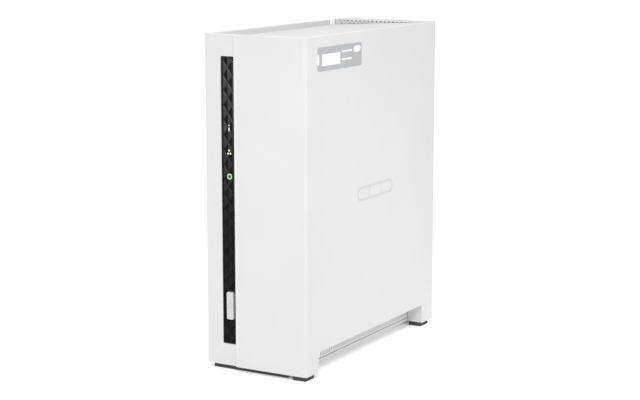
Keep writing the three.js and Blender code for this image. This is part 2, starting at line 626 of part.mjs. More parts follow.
// A round lead from the fan's corner to its plug at the top of the mainboard.
function fanCable() {
  const route = new THREE.CatmullRomCurve3([
    new THREE.Vector3(10, 141, FAN.z - FAN.size / 2 - 0.3),
    new THREE.Vector3(10, 140.8, 122.8),
    new THREE.Vector3(10.1, 138.2, 120.9),
    new THREE.Vector3(10.2, 135.2, 119),
    new THREE.Vector3(10.2, 134.5, 115),
  ]);
  const options = { steps: 9, bevelEnabled: false, extrudePath: route };
  const lead = solid(new THREE.ExtrudeGeometry(disc([0, 0], 1.1, 8), options));
  const plug = block([boardFace, 12.6], [131, 138], [110, 116]);
  return join(lead, plug);
}

// ---- Drive and caddy ----

function driveBracket() {
  const sheet = block(BRACKET_X, [9, 119], [19.5, 172]);
  const hole = (z) => rod('x', [DRIVE_MID_Y, z], 5, grow(BRACKET_X, 1));
  const holes = [50, 75, 100, 125, 150].map(hole);
  return cut(sheet, ...holes);
}

const flangeY = [
  [DRIVE.y[0] - TRAY_FLANGE.gap - TRAY_FLANGE.thickness, DRIVE.y[0] - TRAY_FLANGE.gap],
  [DRIVE.y[1] + TRAY_FLANGE.gap, DRIVE.y[1] + TRAY_FLANGE.gap + TRAY_FLANGE.thickness],
];

// A bent steel channel: a back sheet and two flanges that the drive screws pass through.
function driveTray() {
  const z = [DRIVE.z[0] - 1, DRIVE.z[1] + 1];
  const sheet = block(TRAY_X, [flangeY[0][0], flangeY[1][1]], z);
  const flanges = flangeY.map((y) => block([TRAY_X[0], TRAY_FLANGE.reachX], y, z));
  const hole = (y, at) => rod('y', [DRIVE_SCREW.x, at], 1.8, grow(y, 1), 8);
  const holes = flangeY.flatMap((y) => DRIVE_SCREW.z.map((at) => hole(y, at)));
  return cut(join(sheet, ...flanges), ...holes);
}

function driveBody() {
  const casting = block(CASTING_X, DRIVE.y, DRIVE.z);
  const boardPocket = block([DRIVE.x[0] - 1, DRIVE.x[0] + 2.6], [16, 110], [27.5, 167]);
  const plugBayX = [DRIVE.x[0] - 1, DRIVE.x[0] + 7.6];
  const plugBay = block(plugBayX, around(SATA.y, 37.4), [DRIVE.z[0] - 1, 36]);
  const hole = (y, at) => rod('y', [DRIVE_SCREW.x, at], 1.8, around(y, 9), 8);
  const holes = DRIVE.y.flatMap((y) => DRIVE_SCREW.z.map((at) => hole(y, at)));
  return cut(casting, boardPocket, plugBay, ...holes);
}

// The stamped lid: a flat rim and a raised area over the platters.
function driveCover() {
  const rim = roundedRectangle(grow(DRIVE.y, -1), grow(DRIVE.z, -1), 4);
  const raised = roundedRectangle([20, 106], [58, 165], 14);
  const rimX = [CASTING_X[1], CASTING_X[1] + 1.2];
  return join(prism('x', rim, rimX, 3), prism('x', raised, [rimX[0], DRIVE.x[1]], 5));
}

// The drive's own circuit board with the edge plug that enters the backplane's socket.
function driveBoard() {
  const face = DRIVE.x[0] + 2.2;
  const board = block([face - 1.6, face], [17, 109], [34, 166]);
  const neck = block([face - 1.6, SATA.x + 2], around(SATA.y, SATA.width + 2), [31, 35.6]);
  const tongue = block(around(SATA.x, SATA.thickness), around(SATA.y, SATA.width), [25, 32]);
  return join(board, neck, tongue);
}

function sataSocket() {
  const foot = block(around(SATA.x, 6.2), around(SATA.y, 36), [BACKPLANE.z[1], 23.4]);
  const housing = block(around(SATA.x, 4.2), around(SATA.y, 35.6), [23, 30]);
  const slotX = around(SATA.x, SATA.thickness + 0.4);
  const slot = block(slotX, around(SATA.y, SATA.width + 0.4), [24.5, 31]);
  return cut(join(foot, housing), slot);
}

// ---- Fan ----

function fanFrame() {
  const at = [FAN.x, FAN.z];
  const square = roundedRectangle(around(FAN.x, FAN.size), around(FAN.z, FAN.size), 3);
  const hubY = [FAN.y[1] - 2.4, FAN.y[1]];
  const spokes = [0, 1, 2].map((i) => {
    const geometry = new THREE.BoxGeometry(FAN.bore, 2.4, 3.6);
    geometry.translate(FAN.bore / 2 + 1, 0, 0);
    geometry.rotateY((i * 2 * Math.PI) / 3 + Math.PI / 2);
    geometry.translate(FAN.x, (hubY[0] + hubY[1]) / 2, FAN.z);
    return solid(geometry);
  });
  return join(
    cut(
      prism('y', square, FAN.y, 2),
      rod('y', at, FAN.bore, grow(FAN.y, 1), BIG_ROUND),
      ...fanHoles.map((hole) => rod('y', hole, 2.1, grow(FAN.y, 1), 8)),
    ),
    rod('y', at, HUB.radius, hubY, 24),
    rod('y', at, SHAFT_RADIUS, [HUB.y[0] + 3, hubY[1]]),
    ...spokes,
  );
}

function fanRotor() {
  const at = [FAN.x, FAN.z];
  const cupFloor = HUB.y[0] + HUB.wall;
  const blades = Array.from({ length: FAN.blades }, (_, i) => {
    const geometry = new THREE.BoxGeometry(11.6, 9, 1.2);
    geometry.rotateX(THREE.MathUtils.degToRad(40));
    geometry.translate(HUB.radius + 5.2, 0, 0);
    geometry.rotateY((i * 2 * Math.PI) / FAN.blades);
    geometry.translate(FAN.x, (HUB.y[0] + HUB.y[1]) / 2, FAN.z);
    return solid(geometry);
  });
  const cup = cut(
    rod('y', at, HUB.radius, HUB.y, 24),
    rod('y', at, HUB.radius - HUB.wall, [cupFloor, HUB.y[1] + 1], 24),
  );
  const bush = rod('y', at, 4, [cupFloor - 0.5, HUB.y[1] - 1]);
  const bore = rod('y', at, SHAFT_RADIUS + 0.1, [cupFloor + 0.4, HUB.y[1] + 1]);
  const ring = rod('y', at, HUB.radius - HUB.wall, [HUB.y[0], HUB.y[1] + 1], 24);
  const trimmedBlades = blades.map((blade) => cut(blade, ring));
  return cut(join(cup, bush, ...trimmedBlades), bore);
}

// ---- Feet and screws ----

// A wide rubber foot whose right end slants outwards towards the top.
function wideFoot() {
  const { x: [left, right], topX, length } = WIDE_FOOT;
  const outline = polygon([[left, 0], [right, 0], [topX, GROUND_GAP], [left, GROUND_GAP]]);
  return prism('y', outline, [0, length]);
}

function coverFoot(y) {
  return prism('z', roundedRectangle(COVER_FOOT.x, y, COVER_FOOT.radius), [0, GROUND_GAP], 2);
}

// A pan-head screw along +Y, with the underside of its head at the origin.
function screw({ head, height, shank, length }) {
  const profile = [
    [0, -length],
    [shank, -length],
    [shank, 0],
    [head, 0],
    [head, height * 0.6],
    [head * 0.8, height],
    [0, height],
  ];
  const points = profile.map(([radius, y]) => new THREE.Vector2(radius, y));
  return solid(new THREE.LatheGeometry(points, ROUND));
}

// ---- Assembly ----

const unit = new THREE.Group();
unit.position.set(-WIDTH / 2, -DEPTH / 2, 0);

function add(name, body, material, position = [0, 0, 0], rotation = [0, 0, 0]) {
  const mesh = node(name, body, material);
  mesh.position.set(...position);
  mesh.rotation.set(...rotation);
  unit.add(mesh);
}

add('left_shell', leftShell(), whitePlastic());
add('side_cover', sideCover(), whitePlastic());
add('base_plate', basePlate(), whitePlastic());
add('base_vent_rail', baseVentRail(), whitePlastic());
add('rear_panel', rearPanel(), whitePlastic());
add('rear_top_grille', rearTopGrille(), whitePlastic());
add('model_label', modelLabel(), finish(0xb0b5b7, 0.4));
add('side_emblem', sideEmblem(), finish(0xd6d8da, 0.5));

add('front_window', frontWindow(), finish(0x141516, 0.2));
add('power_button', powerButton(), whitePlastic());
add('power_switch', powerSwitch(), blackPlastic());
add('power_switch_plunger', rod('y', SWITCH_AT, PLUNGER.radius, PLUNGER.y), blackPlastic());
add('status_light_guide', lightGuide(STATUS_Z, STATUS_STEMS), clearPlastic());
add('network_light_guide', lightGuide(NETWORK_Z, NETWORK_STEMS), clearPlastic());
add('drive_light_guide', lightGuide(DRIVE_LIGHT_Z, DRIVE_STEMS), clearPlastic());
add('front_board', frontBoard(), circuitBoard());

add('mainboard', mainboard(), circuitBoard());
add('processor', processor(), chipBlack());
add('heatsink', heatsink(), finish(0xa9adb0, 0.4, 0.9));
MEMORY.z.forEach((z, i) => {
  add(`memory_chip_${i + 1}`, memoryChip(), chipBlack(), [boardFace, MEMORY.y, z]);
});
add('battery_holder', batteryHolder(), blackPlastic());
add('coin_battery', coinBattery(), steel());
add('ethernet_jack', ethernetJack(), steel());
add('usb_port_upper', usbPort(), steel(), [boardFace, PORT_END_Y, USB.lowZ[0]]);
add('usb_port_lower', usbPort(), steel(), [boardFace, PORT_END_Y, USB.lowZ[1]]);
add('power_jack', powerJack(), blackPlastic());
add('reset_switch', resetSwitch(), blackPlastic());
add('reset_button', rod('y', [RESET.x, RESET.z], RESET.radius, RESET.y, 8), whitePlastic());
add('lock_slot_plate', lockSlotPlate(), steel());
add('ribbon_cable', ribbonCable(), finish(0x8d9296, 0.6));
add('fan_cable', fanCable(), blackPlastic());

add('backplane_connector', backplaneConnector(), blackPlastic());
add('drive_backplane', block(BACKPLANE.x, BACKPLANE.y, BACKPLANE.z), circuitBoard());
add('sata_socket', sataSocket(), blackPlastic());
add('drive_bracket', driveBracket(), steel());
add('drive_tray', driveTray(), steel());
add('drive_body', driveBody(), finish(0x8f9396, 0.5, 0.8));
add('drive_cover', driveCover(), finish(0xc4c7c9, 0.3, 0.9));
add('drive_board', driveBoard(), circuitBoard());

add('fan_frame', fanFrame(), blackPlastic());
add('fan_rotor', fanRotor(), blackPlastic());

add('front_foot', wideFoot(), rubber(), [0, WIDE_FOOT.y[0], 0]);
add('rear_foot', wideFoot(), rubber(), [0, WIDE_FOOT.y[1], 0]);
add('cover_front_foot', coverFoot(COVER_FOOT.frontY), rubber());
add('cover_rear_foot', coverFoot(COVER_FOOT.rearY), rubber());

COVER_SCREW_Z.forEach((z, i) => {
  add(`cover_screw_${i + 1}`, screw(COVER_SCREW), steel(), [COVER_SCREW_X, PANEL_Y[1], z]);
});
fanHoles.forEach(([x, z], i) => {
  add(`fan_screw_${i + 1}`, screw(FAN_SCREW), steel(), [x, PANEL_Y[1], z]);
});
BOARD_SCREW_YZ.forEach(([y, z], i) => {
  add(`board_screw_${i + 1}`, screw(BOARD_SCREW), steel(), [boardFace, y, z], [0, 0, -Math.PI / 2]);
});
DRIVE_SCREW.z.forEach((z, i) => {
  const name = (side) => `drive_screw_${side}_${i + 1}`;
  const front = [DRIVE_SCREW.x, flangeY[0][0], z];
  add(name('front'), screw(TRAY_SCREW), steel(), front, [0, 0, Math.PI]);
  add(name('rear'), screw(TRAY_SCREW), steel(), [DRIVE_SCREW.x, flangeY[1][1], z]);
});

export default unit;
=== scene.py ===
import json
import math

import bmesh
import bpy
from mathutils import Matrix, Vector


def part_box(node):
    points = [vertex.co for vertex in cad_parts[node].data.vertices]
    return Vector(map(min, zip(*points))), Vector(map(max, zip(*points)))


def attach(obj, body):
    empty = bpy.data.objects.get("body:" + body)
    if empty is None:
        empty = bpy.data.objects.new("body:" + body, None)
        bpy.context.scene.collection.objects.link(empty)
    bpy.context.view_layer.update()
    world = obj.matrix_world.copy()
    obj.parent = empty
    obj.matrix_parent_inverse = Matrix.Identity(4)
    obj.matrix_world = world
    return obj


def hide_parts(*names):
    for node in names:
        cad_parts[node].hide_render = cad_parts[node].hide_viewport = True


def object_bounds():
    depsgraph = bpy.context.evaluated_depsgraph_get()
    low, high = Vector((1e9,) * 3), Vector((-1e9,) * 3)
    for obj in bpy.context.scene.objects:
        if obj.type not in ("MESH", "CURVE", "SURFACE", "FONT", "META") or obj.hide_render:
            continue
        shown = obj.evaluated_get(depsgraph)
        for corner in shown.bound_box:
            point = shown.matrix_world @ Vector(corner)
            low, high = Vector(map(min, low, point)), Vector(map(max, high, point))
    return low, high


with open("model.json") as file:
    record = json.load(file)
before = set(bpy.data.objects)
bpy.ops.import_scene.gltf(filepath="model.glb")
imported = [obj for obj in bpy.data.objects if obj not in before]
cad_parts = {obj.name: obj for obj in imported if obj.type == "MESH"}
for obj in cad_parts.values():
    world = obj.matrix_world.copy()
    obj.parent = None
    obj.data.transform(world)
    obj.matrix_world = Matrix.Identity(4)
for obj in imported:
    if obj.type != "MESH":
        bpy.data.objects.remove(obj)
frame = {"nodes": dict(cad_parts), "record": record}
cad_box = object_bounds()
NODES = frame["nodes"]
RECORD = frame["record"]
MM = 0.001
WIDTH, DEPTH, HEIGHT = (side / MM for side in cad_box[1] - cad_box[0])
BODY_OF = {node: body for body, nodes in RECORD["behaviour"]["bodies"].items() for node in nodes}
SLOT_OF = {part["node"]: part["material_slot"] for part in RECORD["subparts"]}
replaced_nodes = set()  # the CAD nodes that have a piece in their place

# -------- camera, light and floor

# Places in this section are in metres.
CAMERA_AT = Vector((0.46843, -0.82185, 0.25273))
CAMERA_AZIMUTH = math.radians(29.878)
CAMERA_ELEVATION = math.radians(9.941)
LENS = 91.76
SENSOR_WIDTH = 36
SKY_RISE = (0.1, 0.9)  # how far up a direction points where the sky starts and ends to brighten
SKY_STRENGTH = (0.7, 1.12)
SOFTBOX_AT = Vector((0.65, -0.88, 1.13))
SOFTBOX_AIM = Vector((0.015, -0.03, 0.1))
SOFTBOX_SIZE = 0.22
SOFTBOX_POWER = 0.07
SOFTBOX_SPREAD = math.radians(12)
FLOOR_REACH = 40
FLOOR_TONE = 0.93
FLOOR_GLOW = 0.22


def add_camera():
    data = bpy.data.cameras.new("camera")
    data.lens = LENS
    data.sensor_width = SENSOR_WIDTH
    camera = bpy.data.objects.new("camera", data)
    level = math.cos(CAMERA_ELEVATION)
    back = Vector((
        math.sin(CAMERA_AZIMUTH) * level,
        -math.cos(CAMERA_AZIMUTH) * level,
        math.sin(CAMERA_ELEVATION),
    ))
    camera.location = CAMERA_AT
    camera.rotation_euler = (-back).to_track_quat("-Z", "Y").to_euler()
    bpy.context.scene.collection.objects.link(camera)
    bpy.context.scene.camera = camera


def add_softbox():
    """A gridded softbox with a narrow beam."""
    data = bpy.data.lights.new("main_softbox", "AREA")
    data.shape = "SQUARE"
    data.size = SOFTBOX_SIZE
    data.energy = SOFTBOX_POWER
    data.spread = SOFTBOX_SPREAD
    light = bpy.data.objects.new("main_softbox", data)
    light.location = SOFTBOX_AT
    light.rotation_euler = (SOFTBOX_AIM - SOFTBOX_AT).to_track_quat("-Z", "Y").to_euler()
    bpy.context.scene.collection.objects.link(light)


def add_sky():
    """An even white sky, a little brighter overhead than at the horizon."""
    world = bpy.data.worlds.new("studio")
    bpy.context.scene.world = world
    world.use_nodes = True
    tree = world.node_tree
    background = tree.nodes["Background"]
    background.inputs["Color"].default_value = (1, 1, 1, 1)
    direction = tree.nodes.new("ShaderNodeTexCoord").outputs["Generated"]
    split = tree.nodes.new("ShaderNodeSeparateXYZ")
    tree.links.new(direction, split.inputs["Vector"])
    dimming = tree.nodes.new("ShaderNodeMapRange")
    dimming.inputs["From Min"].default_value, dimming.inputs["From Max"].default_value = SKY_RISE
    dimming.inputs["To Min"].default_value, dimming.inputs["To Max"].default_value = SKY_STRENGTH
    tree.links.new(split.outputs["Z"], dimming.inputs["Value"])
    tree.links.new(dimming.outputs["Result"], background.inputs["Strength"])


# -------- mesh helpers

# Where an outline's two coordinates and its sweep go, as indices of (x, y, z).
SWEEP = {"x": (1, 2, 0), "y": (0, 2, 1), "z": (0, 1, 2)}
SHARP_ANGLE = math.radians(35)
FLAT_ANGLE = math.radians(0.5)


def spot(x, y, z):
    """A place in millimetres from the unit's lower left front corner, as metres in the frame."""
    return cad_box[0] + Vector((x, y, z)) * MM


def piece_from(bm, name):
    bmesh.ops.recalc_face_normals(bm, faces=bm.faces)
    mesh = bpy.data.meshes.new(name)
    bm.to_mesh(mesh)
    bm.free()
    piece = bpy.data.objects.new(name, mesh)
    bpy.context.scene.collection.objects.link(piece)
    return piece


def bridge(bm, lower, upper):
    """The side faces between two closed rings of corners."""
    for i, corner in enumerate(lower):
        j = (i + 1) % len(lower)
        bm.faces.new((corner, lower[j], upper[j], upper[i]))


def prism(axis, outline, low, high, name="prism"):
    """A closed outline swept along an axis from low to high."""
    bm = bmesh.new()
    u, v, w = SWEEP[axis]
    rings = []
    for sweep in (low, high):
        ring = []
        for pair in outline:
            place = [0, 0, 0]
            place[u], place[v], place[w] = pair[0], pair[1], sweep
            ring.append(bm.verts.new(spot(*place)))
        rings.append(ring)
        bm.faces.new(ring)
    bridge(bm, *rings)
    return piece_from(bm, name)


def arc(centre, radius, start, end, steps=8):
    """Points of a round stretch, from one angle in degrees to another."""
    angles = [math.radians(start + (end - start) * i / steps) for i in range(steps + 1)]
    return [(centre[0] + radius * math.cos(a), centre[1] + radius * math.sin(a)) for a in angles]


def rounded(u, v, radius, steps=6):
    """A rectangle with round corners, from its two ranges."""
    (u0, u1), (v0, v1) = u, v
    return (
        arc((u1 - radius, v0 + radius), radius, -90, 0, steps)
        + arc((u1 - radius, v1 - radius), radius, 0, 90, steps)
        + arc((u0 + radius, v1 - radius), radius, 90, 180, steps)
        + arc((u0 + radius, v0 + radius), radius, 180, 270, steps)
    )


def rectangle(u, v):
    return [(u[0], v[0]), (u[1], v[0]), (u[1], v[1]), (u[0], v[1])]


def box(x, y, z, name="box"):
    return prism("z", rectangle(x, y), *z, name=name)


def disc(centre, radius, sides=32):
    return arc(centre, radius, 0, 360, sides)[:-1]


def turned(profile, centre, axis, sides=28, name="turned"):
    """Pairs of radius and place along an axis, turned into a closed solid.

    The profile starts and ends on the axis, and centre is the zero of its places.
    """
    u, v, w = SWEEP[axis]
    bm = bmesh.new()

    def vertex(radius, along, angle):
        place = list(centre)
        place[u] += radius * math.cos(angle)
        place[v] += radius * math.sin(angle)
        place[w] += along
        return bm.verts.new(spot(*place))

    rings = []
    for radius, along in profile:
        count = sides if radius else 1
        rings.append([vertex(radius, along, math.tau * i / count) for i in range(count)])
    for lower, upper in zip(rings, rings[1:]):
        for i in range(sides):
            j = i + 1
            corners = [lower[i % len(lower)], lower[j % len(lower)]]
            corners += [upper[j % len(upper)], upper[i % len(upper)]]
            bm.faces.new(dict.fromkeys(corners))
    return piece_from(bm, name)


def corners_of(node):
    """A node's lowest and highest corners, in millimetres from the unit's corner."""
    return [(corner - cad_box[0]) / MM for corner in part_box(node)]


def middle_of(node):
    low, high = corners_of(node)
    return (low + high) / 2


def spans_of(node):
    """A node's ranges in x, y and z."""
    return list(zip(*corners_of(node)))


def around(middle, width):
    return (middle - width / 2, middle + width / 2)


def grow(span, by):
    return (span[0] - by, span[1] + by)


def moved(span, by):
    return (span[0] + by, span[1] + by)


def paint(piece, *materials):
    for material in materials:
        piece.data.materials.append(material)
    return piece


def paint_round(piece, where):
    """Gives the second material to the faces that lie askew to the axes in one place."""
    for face in piece.data.polygons:
        askew = max(abs(part) for part in face.normal) < 0.999
        if askew and where((face.center - cad_box[0]) / MM):
            face.material_index = 1
    return piece


def settle(piece):
    """Applies a piece's modifiers."""
    made = piece.evaluated_get(bpy.context.evaluated_depsgraph_get())
    mesh = bpy.data.meshes.new_from_object(made)
    piece.modifiers.clear()
    piece.data = mesh
    return piece


def combine(operation, piece, tools):
    for tool in tools:
        modifier = piece.modifiers.new(operation, "BOOLEAN")
        modifier.operation = operation
        modifier.solver = "EXACT"
        modifier.object = tool
        settle(piece)
        bpy.data.objects.remove(tool)
    return piece


def merge(pieces):
    """One piece of several that don't touch."""
    bm = bmesh.new()
    for piece in pieces:
        bm.from_mesh(piece.data)
        bpy.data.objects.remove(piece)
    return piece_from(bm, "merged")


def join(piece, *others):
    return combine("UNION", piece, others)


def cut(piece, *tools):
    return combine("DIFFERENCE", piece, tools)


def soften(piece, width, where=None, angle=40, segments=3):
    """Rounds the edges sharper than an angle in degrees, by a width in millimetres.

    Only edges whose middle passes the test where are rounded. The rounding takes the
    piece's second material, if it has one.
    """
    bm = bmesh.new()
    bm.from_mesh(piece.data)
    sharp = []
    for edge in bm.edges:
        middle = ((edge.verts[0].co + edge.verts[1].co) / 2 - cad_box[0]) / MM
        if edge.calc_face_angle(0) > math.radians(angle) and (where is None or where(middle)):
            sharp.append(edge)
    bmesh.ops.bevel(
        bm, geom=sharp, offset=width * MM, offset_type="OFFSET", segments=segments,
        profile=0.5, affect="EDGES", clamp_overlap=False, loop_slide=True,
        material=1 if len(piece.data.materials) > 1 else -1,
    )
    bm.to_mesh(piece.data)
    bm.free()
    return piece


def flatten(piece):
    """Joins triangles that lie in one plane."""
    bm = bmesh.new()
    bm.from_mesh(piece.data)
    bmesh.ops.remove_doubles(bm, verts=bm.verts, dist=0.002 * MM)
    bmesh.ops.dissolve_limit(bm, angle_limit=FLAT_ANGLE, verts=bm.verts, edges=bm.edges)
    bm.to_mesh(piece.data)
    bm.free()
    return piece


def shade_clean(piece):
    """Smooth shading between sharp edges, with each normal led by the largest face beside it."""
    piece.data.shade_smooth()
    piece.data.set_sharp_from_angle(angle=SHARP_ANGLE)
    modifier = piece.modifiers.new("normals", "WEIGHTED_NORMAL")
    modifier.keep_sharp = True
    settle(piece)


def finish_piece(piece, name, material, body):
    """Names a piece, shades it smooth between its sharp edges and puts it on its body."""
    piece.name = name
    piece.data.name = name
    if not piece.data.materials:
        paint(piece, material)
    shade_clean(piece)
    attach(piece, body)


def stand_for(piece, name, node, material):
    """Finishes a piece that takes one CAD node's place."""
    finish_piece(piece, name, material, BODY_OF[node])
    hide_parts(node)
    replaced_nodes.add(node)


def refine(node, material, edge):
    """A copy of a CAD node with joined faces and edges rounded by a width, in its place."""
    piece = bpy.data.objects.new(node + "_fine", NODES[node].data.copy())
    bpy.context.scene.collection.objects.link(piece)
    piece.data.materials.clear()
    flatten(piece)
    if edge:
        soften(piece, edge, segments=2)
    stand_for(piece, node + "_fine", node, material)


# -------- materials


class Nodes:
    """A material's node tree, with one short call for each kind of node."""

    def __init__(self, name):
        self.material = bpy.data.materials.new(name)
        self.material.use_nodes = True
        self.tree = self.material.node_tree
        self.shader = self.tree.nodes["Principled BSDF"]
        self.coordinates = self.tree.nodes.new("ShaderNodeTexCoord").outputs["Object"]

    def link(self, output, target):
        self.tree.links.new(output, target)

    def noise(self, size, detail=2.0, stretch=None):
        """Noise with grains of a size in millimetres, stretched along the axes if asked."""
        node = self.tree.nodes.new("ShaderNodeTexNoise")
        node.inputs["Scale"].default_value = 1 / (size * MM)
        node.inputs["Detail"].default_value = detail
        source = self.coordinates
        if stretch:
            mapping = self.tree.nodes.new("ShaderNodeMapping")
            mapping.inputs["Scale"].default_value = stretch
            self.link(source, mapping.inputs["Vector"])
            source = mapping.outputs["Vector"]
        self.link(source, node.inputs["Vector"])
        return node.outputs["Fac"]

    def spread(self, value, low, high, start=0.3, end=0.7):
        """A value from 0 to 1 mapped onto a range."""
        node = self.tree.nodes.new("ShaderNodeMapRange")
        node.inputs["From Min"].default_value = start
        node.inputs["From Max"].default_value = end
        node.inputs["To Min"].default_value = low
        node.inputs["To Max"].default_value = high
        self.link(value, node.inputs["Value"])
        return node.outputs["Result"]

    def mix(self, factor, first, second):
        """A colour between two, each a colour or another node's output."""
        node = self.tree.nodes.new("ShaderNodeMix")
        node.data_type = "RGBA"
        self.link(factor, node.inputs["Factor"])
        for socket, value in ((node.inputs[6], first), (node.inputs[7], second)):
            if isinstance(value, bpy.types.NodeSocket):
                self.link(value, socket)
            else:
                socket.default_value = (*value, 1)
        return node.outputs[2]

    def edges(self, radius):
        """1 along edges and 0 on flat faces, from how far a bevel turns the normal."""
        bevel = self.tree.nodes.new("ShaderNodeBevel")
        bevel.samples = 4
        bevel.inputs["Radius"].default_value = radius * MM
        geometry = self.tree.nodes.new("ShaderNodeNewGeometry")
        dot = self.tree.nodes.new("ShaderNodeVectorMath")
        dot.operation = "DOT_PRODUCT"
        self.link(bevel.outputs["Normal"], dot.inputs[0])
        self.link(geometry.outputs["Normal"], dot.inputs[1])
        return self.spread(dot.outputs["Value"], 1, 0, 0.8, 0.99)

    def bump(self, height, depth):
        """Relief of a depth in millimetres from a height between 0 and 1."""
        node = self.tree.nodes.new("ShaderNodeBump")
        node.inputs["Distance"].default_value = depth * MM
        self.link(height, node.inputs["Height"])
        self.link(node.outputs["Normal"], self.shader.inputs["Normal"])


def shade(colour, by):
    return tuple(max(0.0, min(1.0, channel * by)) for channel in colour)


def moulded_plastic(name, colour, roughness, grain=0.5, depth=0.012, edge_highlight_gain=1.12):
    """Moulded plastic: a fine eroded grain, faint clouds in its tone, and a painted highlight that
    lightens its edges.
    """
    nodes = Nodes(name)
    clouds = nodes.noise(38, 3)
    tone = nodes.mix(nodes.spread(clouds, 0, 1), shade(colour, 0.985), shade(colour, 1.01))
    # Painted highlight: the colour along edges is made lighter by the factor given.
    edge = nodes.edges(0.7)
    nodes.link(nodes.mix(edge, tone, shade(colour, edge_highlight_gain)), nodes.shader.inputs["Base Color"])
    rough = nodes.spread(nodes.noise(9, 4), roughness - 0.05, roughness + 0.05)
    nodes.link(rough, nodes.shader.inputs["Roughness"])
    nodes.bump(nodes.noise(grain, 3), depth)
    return nodes.material


def brushed_metal(name, colour, roughness, stretch=(1, 1, 0.04), streak=0.35):
    """Sheet metal with fine streaks along one axis and a painted highlight that brightens its edges.
    """
    nodes = Nodes(name)
    streaks = nodes.noise(streak, 3, stretch)
    tone = nodes.mix(nodes.spread(streaks, 0, 1), shade(colour, 0.9), shade(colour, 1.08))
    # Painted highlight: the colour along edges is made brighter.
    edge_highlight_tone = nodes.mix(nodes.edges(0.25), tone, shade(colour, 1.2))
    nodes.link(edge_highlight_tone, nodes.shader.inputs["Base Color"])
    rough = nodes.spread(nodes.noise(6, 4), roughness - 0.07, roughness + 0.07)
    nodes.link(rough, nodes.shader.inputs["Roughness"])
    nodes.shader.inputs["Metallic"].default_value = 1
    nodes.bump(streaks, 0.006)
    return nodes.material


REFLECTION_RISE_SHARE = (0.42, 0.85)  # the shares of the window's height between which its painted reflection brightens its tone


def facet_plastic(name, shaded_bottom_tone, lit_top_tone, gloss):
    """Smoked gloss plastic with a painted reflection: its tone rises from the bottom of the window to
    its top.
    """
    nodes = Nodes(name)
    split = nodes.tree.nodes.new("ShaderNodeSeparateXYZ")
    nodes.link(nodes.coordinates, split.inputs["Vector"])
    bottom, top = (corner.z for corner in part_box("front_window"))
    start, end = (bottom + share * (top - bottom) for share in REFLECTION_RISE_SHARE)
    rise = nodes.spread(split.outputs["Z"], 0, 1, start, end)
    tone = nodes.mix(rise, (shaded_bottom_tone,) * 3, (lit_top_tone,) * 3)
    grain = nodes.spread(nodes.noise(1.2, 4), 0, 0.12)
    nodes.link(nodes.mix(grain, tone, (lit_top_tone * 0.9,) * 3), nodes.shader.inputs["Base Color"])
    nodes.link(nodes.spread(nodes.noise(3, 3), 0.16, 0.26), nodes.shader.inputs["Roughness"])
    nodes.shader.inputs["Specular IOR Level"].default_value = gloss
    nodes.bump(nodes.noise(0.8, 2), 0.003)
    return nodes.material


def board_lacquer(name, colour, track):
    """Solder lacquer over fine copper tracks that run upright and level."""
    nodes = Nodes(name)
    tone = nodes.mix(nodes.spread(nodes.noise(20, 3), 0, 1), shade(colour, 0.85), shade(colour, 1.1))
    for stretch in ((1, 1, 0.05), (1, 0.05, 1)):
        lines = nodes.spread(nodes.noise(1.1, 1, stretch), 0, 0.8, 0.56, 0.6)
        tone = nodes.mix(lines, tone, track)
    nodes.link(tone, nodes.shader.inputs["Base Color"])
    nodes.link(nodes.spread(nodes.noise(5, 3), 0.28, 0.4), nodes.shader.inputs["Roughness"])
    nodes.bump(lines, 0.02)
    return nodes.material


def lit_sign(name, colour, power):
    """A translucent sign lit from behind, its brightness varying a little at random."""
    nodes = Nodes(name)
    glow = nodes.spread(nodes.noise(0.7, 2), 0.85, 1.0)
    tone = nodes.mix(glow, shade(colour, 0.8), colour)
    nodes.link(tone, nodes.shader.inputs["Base Color"])
    nodes.link(tone, nodes.shader.inputs["Emission Color"])
    nodes.shader.inputs["Emission Strength"].default_value = power
    nodes.shader.inputs["Roughness"].default_value = 0.4
    return nodes.material


WHITE = moulded_plastic("white_shell", (0.69, 0.69, 0.69), 0.5)
# A lighter copy of the white shell for its rounded edges: a painted highlight.
WHITE_EDGE_HIGHLIGHT = moulded_plastic("white_shell_edge_highlight", (0.735, 0.735, 0.735), 0.4, depth=0.003)
BUTTON_WHITE = moulded_plastic("white_button", (0.6, 0.6, 0.6), 0.38, grain=0.8, depth=0.006)
BLACK = moulded_plastic("black_plastic", (0.022, 0.022, 0.024), 0.5, edge_highlight_gain=1.6)
RUBBER = moulded_plastic("rubber_foot", (0.055, 0.055, 0.06), 0.8, grain=0.9, depth=0.03, edge_highlight_gain=1.3)
CHIP = moulded_plastic("chip_black", (0.018, 0.018, 0.02), 0.62, grain=0.25, edge_highlight_gain=1.5)
CABLE = moulded_plastic("cable_grey", (0.30, 0.31, 0.33), 0.5)
CLEAR = moulded_plastic("clear_plastic", (0.75, 0.80, 0.82), 0.2, depth=0.003)
EMBLEM = moulded_plastic("emblem_grey", (0.59, 0.592, 0.597), 0.42, grain=0.8, depth=0.004)
LABEL = moulded_plastic("label_grey", (0.405, 0.427, 0.442), 0.34, grain=0.9, depth=0.004)
PRINT = moulded_plastic("label_print", (0.86, 0.88, 0.89), 0.36, grain=0.9, depth=0.004)
DRIVE_LABEL = moulded_plastic("drive_label_paper", (0.56, 0.57, 0.58), 0.55, grain=0.3, depth=0.006)
STEEL = brushed_metal("bright_steel", (0.46, 0.47, 0.49), 0.3, stretch=(1, 0.05, 1))
SCREW = brushed_metal("screw_steel", (0.36, 0.37, 0.39), 0.34, stretch=(1, 1, 1))
GOLD = brushed_metal("gold_contact", (0.72, 0.52, 0.18), 0.3, stretch=(1, 0.05, 1))
SHEET = brushed_metal("sheet_steel", (0.42, 0.44, 0.46), 0.42)
ALUMINIUM = brushed_metal("aluminium", (0.55, 0.56, 0.58), 0.45, stretch=(1, 1, 1), streak=0.6)
BOARD = board_lacquer("circuit_board", (0.012, 0.095, 0.045), (0.03, 0.17, 0.085))
